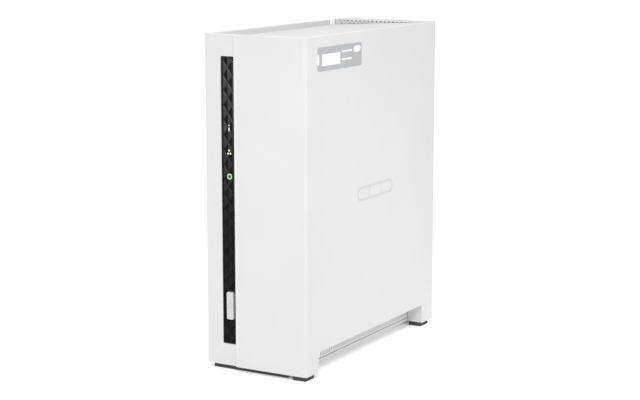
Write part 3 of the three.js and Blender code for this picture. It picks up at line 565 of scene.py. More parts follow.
POWER_GREY = moulded_plastic("power_symbol_grey", (0.36, 0.37, 0.39), 0.4)
FAINT_SIGN = moulded_plastic("unlit_sign", (0.05, 0.055, 0.035), 0.4)
STATUS_SIGN = lit_sign("status_sign", (0.50, 0.56, 0.36), 0.3)
NETWORK_SIGN = lit_sign("network_sign", (0.80, 0.76, 0.42), 0.4)
DRIVE_SIGN = lit_sign("drive_sign", (0.42, 0.56, 0.31), 0.35)
LAMP_GREEN = lit_sign("lamp_green", (0.10, 0.45, 0.14), 0.15)
LAMP_AMBER = lit_sign("lamp_amber", (0.62, 0.34, 0.06), 0.15)
BLACK_GLOSS = facet_plastic("black_window", 0.004, 0.006, 0.2)
# Lit and shaded copies of the window plastic: the left facets get a painted shade and the right facets
# a painted reflection.
FACET_PAINTED_SHADE = facet_plastic("window_facet_painted_shade", 0.002, 0.004, 0.08)
FACET_PAINTED_REFLECTION = facet_plastic("window_facet_painted_reflection", 0.008, 0.051, 0.1)

MATERIAL_OF_SLOT = {
    "white_shell": WHITE,
    "white_button": BUTTON_WHITE,
    "black_window": BLACK_GLOSS,
    "black_plastic": BLACK,
    "clear_plastic": CLEAR,
    "label_grey": LABEL,
    "emblem_grey": EMBLEM,
    "rubber_foot": RUBBER,
    "bright_steel": STEEL,
    "sheet_steel": SHEET,
    "aluminium": ALUMINIUM,
    "circuit_board": BOARD,
    "chip_black": CHIP,
    "cable_grey": CABLE,
}

# -------- housing

WALL = 2.2
FRONT_WALL = 2.0
CORNER = 2.0
LEFT_CORNER = 0.8
REAR_CORNER = 1.0
SEAM_X = 19.5
SEAM_GAP = 0.3
LEFT_SEAM_X = SEAM_X - SEAM_GAP
SEAM_RADIUS = 0.4
SEAM_BEVEL = (2.1, 0.2)  # the shallow bevel along the cover's front edge at the seam
FRONT_STEP = 1.5
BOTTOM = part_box("side_cover")[0].z / MM
VENT_Y = 144.0
FLOOR_LOW = 185.2
FLOOR_HIGH = 188.5
FLOOR_THICKNESS = 1.8
RIM_EDGE = 0.5
SMALL_EDGE = 0.25
INTO_WALL = 0.8  # how deep the ends of inner floors, ribs and bosses reach into a wall
IN_LEFT = WALL - INTO_WALL
IN_SIDE = WIDTH - WALL + INTO_WALL


def floor_height(x):
    return FLOOR_LOW + (x - WALL) * (FLOOR_HIGH - FLOOR_LOW) / (WIDTH - 2 * WALL)


def top_floor(x, y, drop=0.0, thickness=FLOOR_THICKNESS):
    """A stretch of the sloping floor of the sunken top."""
    outline = [(x[0], floor_height(x[0]) - drop - thickness)]
    outline += [(x[1], floor_height(x[1]) - drop - thickness)]
    outline += [(x[1], floor_height(x[1]) - drop)]
    outline += [(x[0], floor_height(x[0]) - drop)]
    return prism("y", outline, *y)


LEG_X = (55.5, WIDTH)
FRONT_LEG_Y = (0.0, 13.3)
REAR_LEG_Y = (142.1, DEPTH)
CUTOUT_TOP = 14.0
CUTOUT_SLANT = (2.1, 4.2)
LEG_WALL = 1.6
LEG_EXTRA = 0.35  # how much thicker a leg's walls are than the cover's


def cover_walls():
    outline = arc((WIDTH - CORNER, CORNER), CORNER, -90, 0, 10)
    outline += arc((WIDTH - REAR_CORNER, DEPTH - REAR_CORNER), REAR_CORNER, 0, 90)
    outline += [(WIDTH - WALL, DEPTH), (WIDTH - WALL, FRONT_WALL), (SEAM_X, FRONT_WALL)]
    seam_corner = (SEAM_X + SEAM_RADIUS, SEAM_BEVEL[1] + SEAM_RADIUS)
    outline += arc(seam_corner, SEAM_RADIUS, 180, 265, 5)
    outline += [(SEAM_X + SEAM_BEVEL[0], 0)]
    # The rounded faces at the seam take the lighter second material, a painted highlight.
    walls = paint(prism("z", outline, BOTTOM, HEIGHT), WHITE, WHITE_EDGE_HIGHLIGHT)
    return paint_round(walls, lambda middle: middle.x < SEAM_X + SEAM_BEVEL[0])


def side_cutout():
    front, rear = FRONT_LEG_Y[1], REAR_LEG_Y[0]
    run, rise = CUTOUT_SLANT
    outline = [(front, BOTTOM - 1), (rear, BOTTOM - 1), (rear, CUTOUT_TOP)]
    outline += [(front + run, CUTOUT_TOP), (front, CUTOUT_TOP - rise)]
    return prism("x", outline, LEG_X[0] - 1, WIDTH + 1)


def leg(y):
    """The solid inner part of a leg, which ends inside the side wall."""
    return box((LEG_X[0], WIDTH - 1), y, (BOTTOM, CUTOUT_TOP))


def leg_hollow(y):
    """The room inside a leg, open at its top."""
    thickness = FRONT_WALL + LEG_EXTRA
    inner_x = (LEG_X[0] + LEG_WALL, WIDTH - WALL - LEG_EXTRA)
    return box(inner_x, grow(y, -thickness), (BOTTOM + LEG_WALL, CUTOUT_TOP + 1))


COVER_SCREWS = ["cover_screw_1", "cover_screw_2"]
COVER_TAB = {"x": (57, IN_SIDE), "y": (147, 152.7), "height": 8, "hole": 1.5}
SILL = {"lift": SMALL_EDGE + 0.05, "top": CUTOUT_TOP + 1.6, "inset": 0.1, "overlap": 1}
RIB_WIDTH = 1.2
LEVEL_RIBS = {"depth": 1.2, "into_wall": 0.3, "y": (4, 144), "z": (50, 90, 130)}
UPRIGHT_RIBS = {"depth": 0.95, "into_wall": 0.35, "y": (36, 72, 108), "z": (17, 184)}


def is_top_edge(middle):
    return middle.z > HEIGHT - 0.01


def cover_sill():
    """The wall's inward fold above the cut-out, from leg to leg."""
    y = (FRONT_LEG_Y[1] - SILL["overlap"], REAR_LEG_Y[0] + SILL["overlap"])
    return box((LEG_X[0] + SILL["inset"], IN_SIDE), y, (CUTOUT_TOP + SILL["lift"], SILL["top"]))


def cover_ribs():
    inner = WIDTH - WALL
    level_x = (inner - LEVEL_RIBS["depth"], inner + LEVEL_RIBS["into_wall"])
    upright_x = (inner - UPRIGHT_RIBS["depth"], inner + UPRIGHT_RIBS["into_wall"])
    level = [box(level_x, LEVEL_RIBS["y"], around(z, RIB_WIDTH)) for z in LEVEL_RIBS["z"]]
    upright = [box(upright_x, around(y, RIB_WIDTH), UPRIGHT_RIBS["z"]) for y in UPRIGHT_RIBS["y"]]
    return level + upright


def build_side_cover():
    cover = cut(cover_walls(), side_cutout())
    inner_front = (FRONT_WALL / 2, FRONT_LEG_Y[1])
    inner_rear = (REAR_LEG_Y[0], REAR_LEG_Y[1] - REAR_CORNER)
    flatten(join(cover, leg(inner_front), leg(inner_rear)))
    # The rounded top rim and lower edges take the lighter second material, a painted highlight.
    soften(cover, RIM_EDGE, is_top_edge)
    soften(cover, SMALL_EDGE, lambda middle: middle.z < HEIGHT - 2 * RIM_EDGE)
    cut(cover, leg_hollow(FRONT_LEG_Y), leg_hollow(REAR_LEG_Y))
    tabs = []
    holes = []
    for screw in COVER_SCREWS:
        at = middle_of(screw)
        tabs.append(box(COVER_TAB["x"], COVER_TAB["y"], around(at.z, COVER_TAB["height"])))
        hole = disc((at.x, at.z), COVER_TAB["hole"])
        holes.append(prism("y", hole, COVER_TAB["y"][0] - 1, COVER_TAB["y"][1] + 1))
    top = top_floor((SEAM_X, IN_SIDE), (FRONT_WALL - 1, VENT_Y - SEAM_GAP))
    join(cover, top, cover_sill(), *tabs, *cover_ribs())
    cut(cover, *holes)
    stand_for(cover, "side_cover_moulding", "side_cover", WHITE)


def left_walls():
    back = FRONT_STEP + WALL
    outline = [(LEFT_SEAM_X, FRONT_STEP), (LEFT_SEAM_X, back), (WALL, back), (WALL, DEPTH)]
    outline += arc((REAR_CORNER, DEPTH - REAR_CORNER), REAR_CORNER, 90, 180)
    outline += arc((LEFT_CORNER, FRONT_STEP + LEFT_CORNER), LEFT_CORNER, 180, 270)
    return prism("z", outline, BOTTOM, HEIGHT)


NOTCH_Y = (137.8, 148.3)
NOTCH_POST = {"x": (1.5, WALL), "y": (140.65, 141.05)}
WINDOW_OPENING = {"left": 0.3, "right": 0.2, "ends": 0.2, "corner": 0.7}
LAP_Y = (2.4, 4.4)
LAP_REACH_X = 27
LAP_TOP = 183.4
LEDGE_REACH_X = 23
SEAM_OVERLAP = 1.5
BOARD_RESTS = {"x": (IN_LEFT, 11.5), "y": (10.6, 12.6), "z": (60, 122), "height": 4}
BOARD_SCREWS = [f"board_screw_{i}" for i in (1, 2, 3, 4)]
BOSS = {"radius": 3.2, "end": 6}
THROUGH_FRONT = (-1, 6)


def cut_notch(shell):
    """The gap in the left rim behind the sunken top, with a thin post left standing."""
    above_floor = (FLOOR_LOW, HEIGHT + 1)
    post_y = NOTCH_POST["y"]
    for y in ((NOTCH_Y[0], post_y[0]), (post_y[1], VENT_Y)):
        cut(shell, box((-1, WALL + 1), y, above_floor))
    cut(shell, box((-1, NOTCH_POST["x"][0]), (post_y[0] - 0.1, NOTCH_Y[1]), above_floor))


def left_floors():
    """The sunken top's left part and the ledge that the cover's part rests on."""
    back = VENT_Y - SEAM_GAP
    behind_lap = (LAP_Y[1], back)
    start = LEFT_SEAM_X - SEAM_OVERLAP
    return [
        top_floor((IN_LEFT, LEFT_SEAM_X), (FRONT_STEP + 1.2, back)),
        top_floor((start, LEDGE_REACH_X), behind_lap, FLOOR_THICKNESS + 0.3, 1.6),
        top_floor((start, LEFT_SEAM_X), behind_lap, 0.9, 2),
    ]


def board_rest(z):
    return box(BOARD_RESTS["x"], BOARD_RESTS["y"], (z, z + BOARD_RESTS["height"]))


def board_boss(screw):
    at = middle_of(screw)
    return prism("x", disc((at.y, at.z), BOSS["radius"]), IN_LEFT, BOSS["end"])


def build_left_shell():
    # The rounded top rim and edges take the lighter second material, a painted highlight.
    shell = soften(paint(left_walls(), WHITE, WHITE_EDGE_HIGHLIGHT), RIM_EDGE, is_top_edge)
    away = SEAM_X - 1
    soften(shell, SMALL_EDGE, lambda middle: middle.z < HEIGHT - 2 * RIM_EDGE and middle.x < away)
    low, high = corners_of("front_window")
    opening_x = (low.x - WINDOW_OPENING["left"], high.x + WINDOW_OPENING["right"])
    opening_z = grow((low.z, high.z), WINDOW_OPENING["ends"])
    opening = rounded(opening_x, opening_z, WINDOW_OPENING["corner"])
    lap_x = (LEFT_SEAM_X - SEAM_OVERLAP, LAP_REACH_X)
    join(shell, box(lap_x, LAP_Y, (BOTTOM + 0.3, LAP_TOP)))
    cut(shell, prism("y", opening, *THROUGH_FRONT))
    cut_notch(shell)
    rests = [board_rest(z) for z in BOARD_RESTS["z"]]
    bosses = [board_boss(screw) for screw in BOARD_SCREWS]
    join(shell, *left_floors(), *rests, *bosses)
    stand_for(shell, "left_shell_moulding", "left_shell", WHITE)


GRILLE_WALL = 1.4
GRILLE_LIP = 1.7
GRILLE_TOP = 0.9
GRILLE_HOLES = {"pitch": 2.86, "radius": 0.5, "upper_z": 187.75, "lower_z": 186.3, "start": 3}


def build_rear_top_grille():
    """A wall with two staggered rows of holes, and the ledge that joins it to the rear."""
    low, high = corners_of("rear_top_grille")
    wall_back, lip, under = VENT_Y + GRILLE_WALL, DEPTH - GRILLE_LIP, HEIGHT - GRILLE_TOP
    outline = [(VENT_Y, low.z), (wall_back, low.z), (wall_back, under), (lip, under)]
    outline += [(lip, low.z), (high.y, low.z), (high.y, HEIGHT), (VENT_Y, HEIGHT)]
    grille = soften(prism("x", outline, low.x, high.x), 0.3)
    pitch, radius, start = (GRILLE_HOLES[key] for key in ("pitch", "radius", "start"))
    rows = ((GRILLE_HOLES["upper_z"], 0.0), (GRILLE_HOLES["lower_z"], pitch / 2))
    holes = []
    for z, shift in rows:
        for i in range(int((high.x - low.x - start) / pitch)):
            x = low.x + start + shift + i * pitch
            if floor_height(x) < z + radius * 0.5:
                holes.append(prism("y", disc((x, z), radius, 16), VENT_Y - 1, wall_back - 0.2))
    cut(grille, merge(holes))
    stand_for(grille, "rear_top_grille_moulding", "rear_top_grille", WHITE)


RAIL_SLOT = {"start": 3, "pitch": 2.6, "width": 1.0, "depth": 0.45, "z": (6.2, 14.0)}


def build_vent_rail():
    low, high = corners_of("base_vent_rail")
    rail = soften(box(*spans_of("base_vent_rail")), 0.3)
    first, pitch = low.y + RAIL_SLOT["start"], RAIL_SLOT["pitch"]
    floor_x = high.x - RAIL_SLOT["depth"]
    slots = []
    for i in range(int((high.y - first) / pitch)):
        slot = rounded(around(first + i * pitch, RAIL_SLOT["width"]), RAIL_SLOT["z"], 0.45, 3)
        slots.append(prism("x", slot, floor_x, high.x + 1))
    cut(rail, merge(slots))
    stand_for(rail, "base_vent_rail_slotted", "base_vent_rail", WHITE)


# -------- window, signs and button

CAP_X = (12.9, 17.3)
CAP_Z = (29.1, 44.8)
DIAMOND = (6.0, 8.22)  # width and height
DIAMOND_AT = (14.5, 170.06)
DIAMOND_HEIGHT = 0.55
DIAMOND_COLUMNS = range(-2, 3)
DIAMOND_ROWS = range(-2, 22)
RIDGE_SHARE = 0.72
WINDOW_BORDER = {"left": 0.6, "right": 0.7, "ends": 0.7}
WINDOW_OVERLAP = 0.2
FACET_BACK_Y = 2.9
FACET_BASE_Y = 2.5
BUTTON_WELL = 1.1
CAP_CORNER = 0.9
CAP_GAP = 0.25


def add_diamond(bm, x, z):
    """One raised diamond with an upright ridge: two broad facets and four narrow ones."""
    half_x, half_z = DIAMOND[0] / 2, DIAMOND[1] / 2
    peak_y = FACET_BASE_Y - DIAMOND_HEIGHT
    ridge = half_z * RIDGE_SHARE
    top = spot(x, FACET_BASE_Y, z + half_z)
    bottom = spot(x, FACET_BASE_Y, z - half_z)
    left = spot(x - half_x, FACET_BASE_Y, z)
    right = spot(x + half_x, FACET_BASE_Y, z)
    upper = spot(x, peak_y, z + ridge)
    lower = spot(x, peak_y, z - ridge)
    # The left facets take the first material, a painted shade, and the right facets the second, a
    # painted reflection.
    facets = (
        ((left, upper, lower), 0),
        ((top, upper, left), 0),
        ((left, lower, bottom), 0),
        ((right, lower, upper), 1),
        ((top, right, upper), 1),
        ((right, bottom, lower), 1),
    )
    for corners, side in facets:
        face = bm.faces.new([bm.verts.new(corner) for corner in corners])
        face.material_index = side


def clip(bm, point, normal):
    """Cuts away what lies past a plane, on the side that its normal points to."""
    geometry = [*bm.verts, *bm.edges, *bm.faces]
    bmesh.ops.bisect_plane(
        bm, geom=geometry, plane_co=point, plane_no=normal, clear_outer=True, dist=1e-8
    )


def facet_field(x, z):
    """The facetted face over a rectangle, closed at the back."""
    bm = bmesh.new()
    for column in DIAMOND_COLUMNS:
        centre_x = DIAMOND_AT[0] + column * DIAMOND[0] / 2
        shift = 0.5 + 0.5 * (column % 2)
        for row in DIAMOND_ROWS:
            add_diamond(bm, centre_x, DIAMOND_AT[1] - (row + shift) * DIAMOND[1])
    bmesh.ops.remove_doubles(bm, verts=bm.verts, dist=0.001 * MM)
    clip(bm, spot(x[0], 0, 0), Vector((-1, 0, 0)))
    clip(bm, spot(x[1], 0, 0), Vector((1, 0, 0)))
    clip(bm, spot(0, 0, z[0]), Vector((0, 0, -1)))
    clip(bm, spot(0, 0, z[1]), Vector((0, 0, 1)))
    rim = [edge for edge in bm.edges if edge.is_boundary]
    made = bmesh.ops.extrude_edge_only(bm, edges=rim)["geom"]
    back = [item for item in made if isinstance(item, bmesh.types.BMVert)]
    for vertex in back:
        vertex.co.y = spot(0, FACET_BACK_Y, 0).y
    edges = [edge for edge in bm.edges if edge.is_boundary]
    bmesh.ops.contextual_create(bm, geom=edges)
    return piece_from(bm, "facet_field")


def build_window():
    low, high = corners_of("front_window")
    left = low.x - WINDOW_OVERLAP
    outline = [(left, low.y), (LEFT_SEAM_X, low.y), (LEFT_SEAM_X, LAP_Y[0]), (high.x, LAP_Y[0])]
    outline += [(high.x, high.y), (left, high.y)]
    body = prism("z", outline, low.z, high.z)
    field_x = (left + WINDOW_BORDER["left"], LEFT_SEAM_X - WINDOW_BORDER["right"])
    field_z = grow((low.z, high.z), -WINDOW_BORDER["ends"])
    soften(cut(body, box(field_x, (0, FACET_BACK_Y), field_z)), 0.15)
    hole = rounded(grow(CAP_X, CAP_GAP), grow(CAP_Z, CAP_GAP), CAP_CORNER + 0.35)
    cut(body, prism("y", hole, *THROUGH_FRONT))
    stand_for(body, "front_window_body", "front_window", BLACK_GLOSS)
    field = paint(facet_field(grow(field_x, -0.01), grow(field_z, -0.01)), FACET_PAINTED_SHADE, FACET_PAINTED_REFLECTION)
    well = rounded(grow(CAP_X, BUTTON_WELL), grow(CAP_Z, BUTTON_WELL), CAP_CORNER + BUTTON_WELL)
    cut(field, paint(prism("y", well, *THROUGH_FRONT), BLACK_GLOSS))
    field.name = "front_window_facets"
    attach(field, "chassis")


SIGN_Y = (1.83, 2.03)
SYMBOL_Y = (-0.03, 0.3)  # from the button's face
DOT = {"at": (15.3, 138.5), "radius": 0.42}
BAR = {"x": (14.95, 15.75), "z": (135.3, 137.4), "corner": 0.25}
HALF_DISC = {"at": (12.1, 136.6), "radius": 1.4}
NETWORK_DOTS = {"at": ((15.2, 124.6), (14.5, 122.9), (16.1, 122.95)), "radius": 0.5}
RING_AT = (15.4, 110.1)
RING_OUTER = (3.1, 3.2, 1.4)  # width, height and corner radius
RING_INNER = (1.75, 1.85, 0.8)


def add_sign(name, outline, material, hole=None):
    sign = prism("y", outline, *SIGN_Y)
    if hole:
        cut(sign, prism("y", hole, 0, 3))
    finish_piece(sign, name, material, "chassis")


def ring_outline(wide, tall, corner):
    return rounded(around(RING_AT[0], wide), around(RING_AT[1], tall), corner)


def build_signs():
    add_sign("status_sign_dot", disc(DOT["at"], DOT["radius"]), STATUS_SIGN)
    add_sign("status_sign_bar", rounded(BAR["x"], BAR["z"], BAR["corner"]), STATUS_SIGN)
    add_sign("unlit_sign", arc(HALF_DISC["at"], HALF_DISC["radius"], -90, 90, 14), FAINT_SIGN)
    for i, centre in enumerate(NETWORK_DOTS["at"]):
        add_sign(f"network_sign_dot_{i + 1}", disc(centre, NETWORK_DOTS["radius"]), NETWORK_SIGN)
    add_sign("drive_sign_ring", ring_outline(*RING_OUTER), DRIVE_SIGN, ring_outline(*RING_INNER))


SYMBOL = {"radius": 1.35, "inner": 1.05, "gap": (125, 415), "bar_z": (0.4, 1.7), "bar": 0.3}


def build_power_button():
    x, (front, back), z = spans_of("power_button")
    cap = prism("y", rounded(CAP_X, CAP_Z, CAP_CORNER), front, back)
    cap = join(soften(cap, 0.3, angle=60), box(x, (back - 0.5, back), z))
    stand_for(cap, "power_button_cap", "power_button", BUTTON_WHITE)
    centre = (sum(CAP_X) / 2, sum(CAP_Z) / 2)
    start, end = SYMBOL["gap"]
    ring = arc(centre, SYMBOL["radius"], start, end, 24) + arc(centre, SYMBOL["inner"], end, start, 24)
    bar_z = moved(SYMBOL["bar_z"], centre[1])
    bar = rounded(around(centre[0], SYMBOL["bar"]), bar_z, 0.1, 3)
    for name, outline in (("power_symbol_ring", ring), ("power_symbol_bar", bar)):
        shape = prism("y", outline, *moved(SYMBOL_Y, front))
        finish_piece(shape, name, POWER_GREY, "power_button")


# -------- label and side mark

LABEL_Y = (12.0, 61.5)
LABEL_Z = (169.3, 182.3)
PRINT_BOX = ((16.9, 36.75), (172.1, 178.4))
PRINT_PILL = ((52.0, 60.0), (177.2, 180.6))
PRINT_LINES = {"y": (38.6, 50.2), "z": (178.6, 174.2), "height": 0.9}
CRESCENT = {"z": 175.7, "radius": 5.0, "left_y": 16.6, "right_y": 8.96, "half_angle": 40}
UNDER_FACE = WIDTH - 0.3
FILM_FACE = WIDTH + 0.08
RAISED_FACE = WIDTH + 0.12
MARK_STROKE = 1.5
MARK_CELLS = 3


def print_shape(name, outline):
    shape = prism("x", outline, WIDTH, RAISED_FACE)
    finish_piece(shape, name, PRINT, "side_cover")


def build_label():
    film = prism("x", rounded(LABEL_Y, LABEL_Z, 1.4), UNDER_FACE, FILM_FACE)
    stand_for(film, "model_label_film", "model_label", LABEL)
    print_shape("label_box", rounded(*PRINT_BOX, 0.3))
    print_shape("label_pill", rounded(*PRINT_PILL, 1.6))
    for i, z in enumerate(PRINT_LINES["z"]):
        line = rounded(PRINT_LINES["y"], around(z, PRINT_LINES["height"]), 0.4)
        print_shape(f"label_line_{i + 1}", line)
    half, radius, z = (CRESCENT[key] for key in ("half_angle", "radius", "z"))
    crescent = arc((CRESCENT["left_y"], z), radius, 180 - half, 180 + half, 12)
    crescent += arc((CRESCENT["right_y"], z), radius, -half, half, 12)
    print_shape("label_crescent", crescent)


def build_emblem():
    """A generic mark: a long rounded frame with bars across it."""
    _, y, z = spans_of("side_emblem")
    radius = (z[1] - z[0]) / 2 - 0.01
    mark = prism("x", rounded(y, z, radius, 12), UNDER_FACE, RAISED_FACE)
    inside = rounded(grow(y, -MARK_STROKE), grow(z, -MARK_STROKE), radius - MARK_STROKE, 12)
    cut(mark, prism("x", inside, UNDER_FACE - 5, RAISED_FACE + 5))
    step = (y[1] - y[0]) / MARK_CELLS
    bar_x, bar_z = (UNDER_FACE - 0.9, RAISED_FACE), grow(z, -MARK_STROKE / 2)
    places = [y[0] + i * step for i in range(1, MARK_CELLS)]
    join(mark, *(box(bar_x, around(place, MARK_STROKE), bar_z) for place in places))
    stand_for(mark, "side_mark", "side_emblem", EMBLEM)


# -------- screws, fan and sockets

SCREWS = {
    "y": [f"cover_screw_{i}" for i in (1, 2)] + [f"fan_screw_{i}" for i in (1, 2, 3, 4)]
    + [f"drive_screw_rear_{i}" for i in (1, 2)],
    "-y": [f"drive_screw_front_{i}" for i in (1, 2)],
    "x": BOARD_SCREWS,
}
HEAD_HEIGHT = {"cover": 1.7, "fan": 1.7, "board": 1.6, "drive": 1.6}
SHANK_RADIUS = {"cover": 1.4, "fan": 1.9, "board": 1.0, "drive": 1.6}
DOME = ((1, 0.4), (0.92, 0.72), (0.7, 0.93), (0, 1))  # shares of the head's radius and height
RECESS = {"long": 1.1, "short": 0.3, "floor": 0.35}  # shares of the head's radius and height


def build_screw(node, towards):
    """A pan-head screw with a cross recess; its head points along one axis."""
    axis = towards[-1]
    way = -1 if towards[0] == "-" else 1
    u, v, w = SWEEP[axis]
    low, high = corners_of(node)
    kind = node.split("_")[0]
    head, tall, shank = (high[u] - low[u]) / 2, HEAD_HEIGHT[kind], SHANK_RADIUS[kind]
    seat = high[w] - tall if way > 0 else low[w] + tall
    length = (high[w] - low[w]) - tall
    centre = list((low + high) / 2)
    centre[w] = seat
    profile = [(0, -length), (shank * 0.8, -length), (shank, -length + 0.5), (shank, 0), (head, 0)]
    profile += [(head * wide, tall * high_up) for wide, high_up in DOME]
    screw = turned([(radius, along * way) for radius, along in profile], centre, axis)
    long, short = head * RECESS["long"], head * RECESS["short"]
    for wide, narrow in ((long, short), (short, long)):
        spans = [None, None, None]
        spans[u] = around(centre[u], wide)
        spans[v] = around(centre[v], narrow)
        spans[w] = sorted((seat + way * tall * RECESS["floor"], seat + way * (tall + 1)))
        cut(screw, box(*spans))
    stand_for(screw, node + "_recessed", node, SCREW)


HUB = {"radius": 11.2, "wall": 1.6, "edge": 0.8, "post": 4, "bore": 2.1}
STICKER = {"radius": 8, "under": 0.05, "proud": 0.1}
BLADE = {
    "count": 7, "tip": 22.2, "root": 0.8, "thickness": 1.1, "sections": 6, "steps": 7,
    "turn": 34, "belly": 7, "sweep": 9,  # degrees
}


def fan_blade(centre, span, start):
    """One curved blade: sections at rising radii, each a bent strip from front to back."""
    bm = bmesh.new()
    sections, steps = BLADE["sections"], BLADE["steps"]
    root = HUB["radius"] - BLADE["root"]
    rings = []
    for i in range(sections + 1):
        share = i / sections
        radius = root + (BLADE["tip"] - root) * share
        half_angle = BLADE["thickness"] / 2 / radius
        ring = []
        for side in (1, -1):
            for j in range(steps + 1)[::side]:
                t = j / steps
                belly = BLADE["belly"] * math.sin(math.pi * t)
                bend = math.radians(BLADE["turn"] * t + belly + BLADE["sweep"] * share)
                angle = start + bend + side * half_angle
                x = centre.x + radius * math.cos(angle)
                z = centre.z + radius * math.sin(angle)
                ring.append(bm.verts.new(spot(x, span[0] + (span[1] - span[0]) * t, z)))
        rings.append(ring)
    for inner, outer in zip(rings, rings[1:]):
        bridge(bm, inner, outer)
    bm.faces.new(rings[0])
    bm.faces.new(rings[-1])
    return piece_from(bm, "blade")


def build_fan_rotor():
    _, (front, back), _ = spans_of("fan_rotor")
    radius, edge, post, bore = (HUB[key] for key in ("radius", "edge", "post", "bore"))
    inner, inner_front = radius - HUB["wall"], front + HUB["wall"]
    profile = [(0, front), (radius - edge, front), (radius, front + edge), (radius, back)]
    profile += [(inner, back), (inner, inner_front), (post, inner_front), (post, back - 1)]
    profile += [(bore, back - 1), (bore, front + 2), (0, front + 2)]
    centre = middle_of("fan_frame")
    centre.y = 0
    hub = turned(profile, centre, "y", 40)
    turns = [math.tau * i / BLADE["count"] for i in range(BLADE["count"])]
    blades = merge([fan_blade(centre, (front + 0.4, back - 0.6), turn) for turn in turns])
    stand_for(join(hub, blades), "fan_rotor_bladed", "fan_rotor", BLACK)
    rim, under, proud = STICKER["radius"], STICKER["under"], STICKER["proud"]
    profile = [(0, -proud), (rim, -proud), (rim, under), (0, under)]
    sticker = turned(profile, (centre.x, front, centre.z), "y")
    finish_piece(sticker, "fan_hub_sticker", EMBLEM, "fan_rotor")


# The sockets' places are measured from the corners of their CAD nodes.
MOUTH = {"left": 3.4, "right": 2.2, "height": 11.8, "depth": 11.5}
LATCH = {"x": (1.4, 3.6), "height": 6}
LAMP = {"x": (0.9, 2.9), "z": (0.9, 3.7), "depth": 1.2}
CONTACTS = {"count": 8, "pitch": 1.02, "width": 0.4}
CONTACT_SHAPE = [(0, -11), (0, -2.5), (-2.6, -8.5), (-2.9, -8.2), (-0.35, -2), (0.05, -2), (0.05, -11)]
CONTACT_INSET = 2.3


def build_ethernet():
    """The can with its mouth and latch recess, two lamps and eight bent contacts."""
    low, high = corners_of("ethernet_jack")
    middle_z = (low.z + high.z) / 2
    can = soften(box(*spans_of("ethernet_jack")), 0.25)
    mouth_x = (low.x + MOUTH["left"], high.x - MOUTH["right"])
    mouth_y = (high.y - MOUTH["depth"], high.y + 1)
    mouth = box(mouth_x, mouth_y, around(middle_z, MOUTH["height"]))
    latch = box(moved(LATCH["x"], low.x), mouth_y, around(middle_z, LATCH["height"]))
    lamp_x = moved(LAMP["x"], low.x)
    near, far = LAMP["z"]
    lamps = (
        ("left", (low.z + near, low.z + far), LAMP_GREEN),
        ("right", (high.z - far, high.z - near), LAMP_AMBER),
    )
    pockets = [box(lamp_x, (high.y - LAMP["depth"], high.y + 1), z) for _, z, _ in lamps]
    stand_for(cut(can, mouth, latch, *pockets), "ethernet_can", "ethernet_jack", STEEL)
    for side, z, material in lamps:
        lens = soften(box(grow(lamp_x, -0.08), (high.y - 1, high.y + 0.1), grow(z, -0.08)), 0.15)
        finish_piece(lens, f"ethernet_lamp_{side}", material, "chassis")
    outline = [(high.x - CONTACT_INSET + x, high.y + y) for x, y in CONTACT_SHAPE]
    contacts = []
    for i in range(CONTACTS["count"]):
        place = middle_z + (i - (CONTACTS["count"] - 1) / 2) * CONTACTS["pitch"]
        contacts.append(prism("z", outline, *around(place, CONTACTS["width"])))
    finish_piece(merge(contacts), "ethernet_contacts", GOLD, "chassis")


USB_WALL = (0.7, 0.6)
USB_DEPTH = 13
TONGUE = {"x": (1.5, 3.4), "ends": 1.4, "set_back": 1.6}
USB_CONTACTS = {"z": (-3.5, -1, 1, 3.5), "width": 1.0, "y": (-11, -2.6)}


def build_usb(node):
    x, y, z = spans_of(node)
    back = y[1]
    can = soften(box(x, y, z), 0.35)
    mouth_y = (back - USB_DEPTH, back + 1)
    mouth = box(grow(x, -USB_WALL[0]), mouth_y, grow(z, -USB_WALL[1]))
    stand_for(cut(can, soften(mouth, 0.2)), node + "_can", node, STEEL)
    tongue_x = moved(TONGUE["x"], x[0])
    tongue_y = (back - USB_DEPTH - 0.1, back - TONGUE["set_back"])
    tongue = soften(box(tongue_x, tongue_y, grow(z, -TONGUE["ends"])), 0.2)
    finish_piece(tongue, node + "_tongue", BLACK, "chassis")
    contact_x = (tongue_x[1] - 0.1, tongue_x[1] + 0.12)
    contact_y = moved(USB_CONTACTS["y"], back)
    places = [sum(z) / 2 + offset for offset in USB_CONTACTS["z"]]
    contacts = [box(contact_x, contact_y, around(z, USB_CONTACTS["width"])) for z in places]
    finish_piece(merge(contacts), node + "_contacts", GOLD, "chassis")


PIN_PROFILE = [(0, -12), (1.08, -12), (1.08, -2), (0.85, -1.45), (0, -1.4)]


def build_power_pin():
    mouth = middle_of("power_jack")
    mouth.y = corners_of("power_jack")[1].y
    pin = turned(PIN_PROFILE, mouth, "y", 20)
    finish_piece(pin, "power_pin", STEEL, "chassis")


# -------- circuit boards and drive

CAPACITORS = [(100, 30), (109, 30), (118, 34), (109, 40), (100, 54), (109, 54)]
CAPACITOR_PROFILE = [
    (0, 0), (3.3, 0), (3.3, 0.7), (3.0, 1.1), (3.3, 1.5), (3.3, 7.4), (2.9, 7.9), (0, 7.9),
]
VENT_CROSS = {"x": (7.6, 9), "length": 4, "width": 0.4}
COILS = [(84, 34), (84, 46), (96, 44)]
COIL = {"side": 7.4, "height": 4.2, "corner": 0.9}
# Each flat chip's y and z, and its width and height.
FLAT_CHIPS = [(120, 101, 9, 9), (122, 62, 8, 8), (66, 46, 8, 5.5), (66, 56, 8, 5.5), (118, 82, 5, 6)]
CHIP_LEG = {"pitch": 1.1, "first": 0.8, "width": 0.45, "reach": 0.9, "height": 0.35}
SMALL_PARTS = {"first_y": 60, "pitch": 3, "count": 12, "z": (104, 107, 110, 64)}


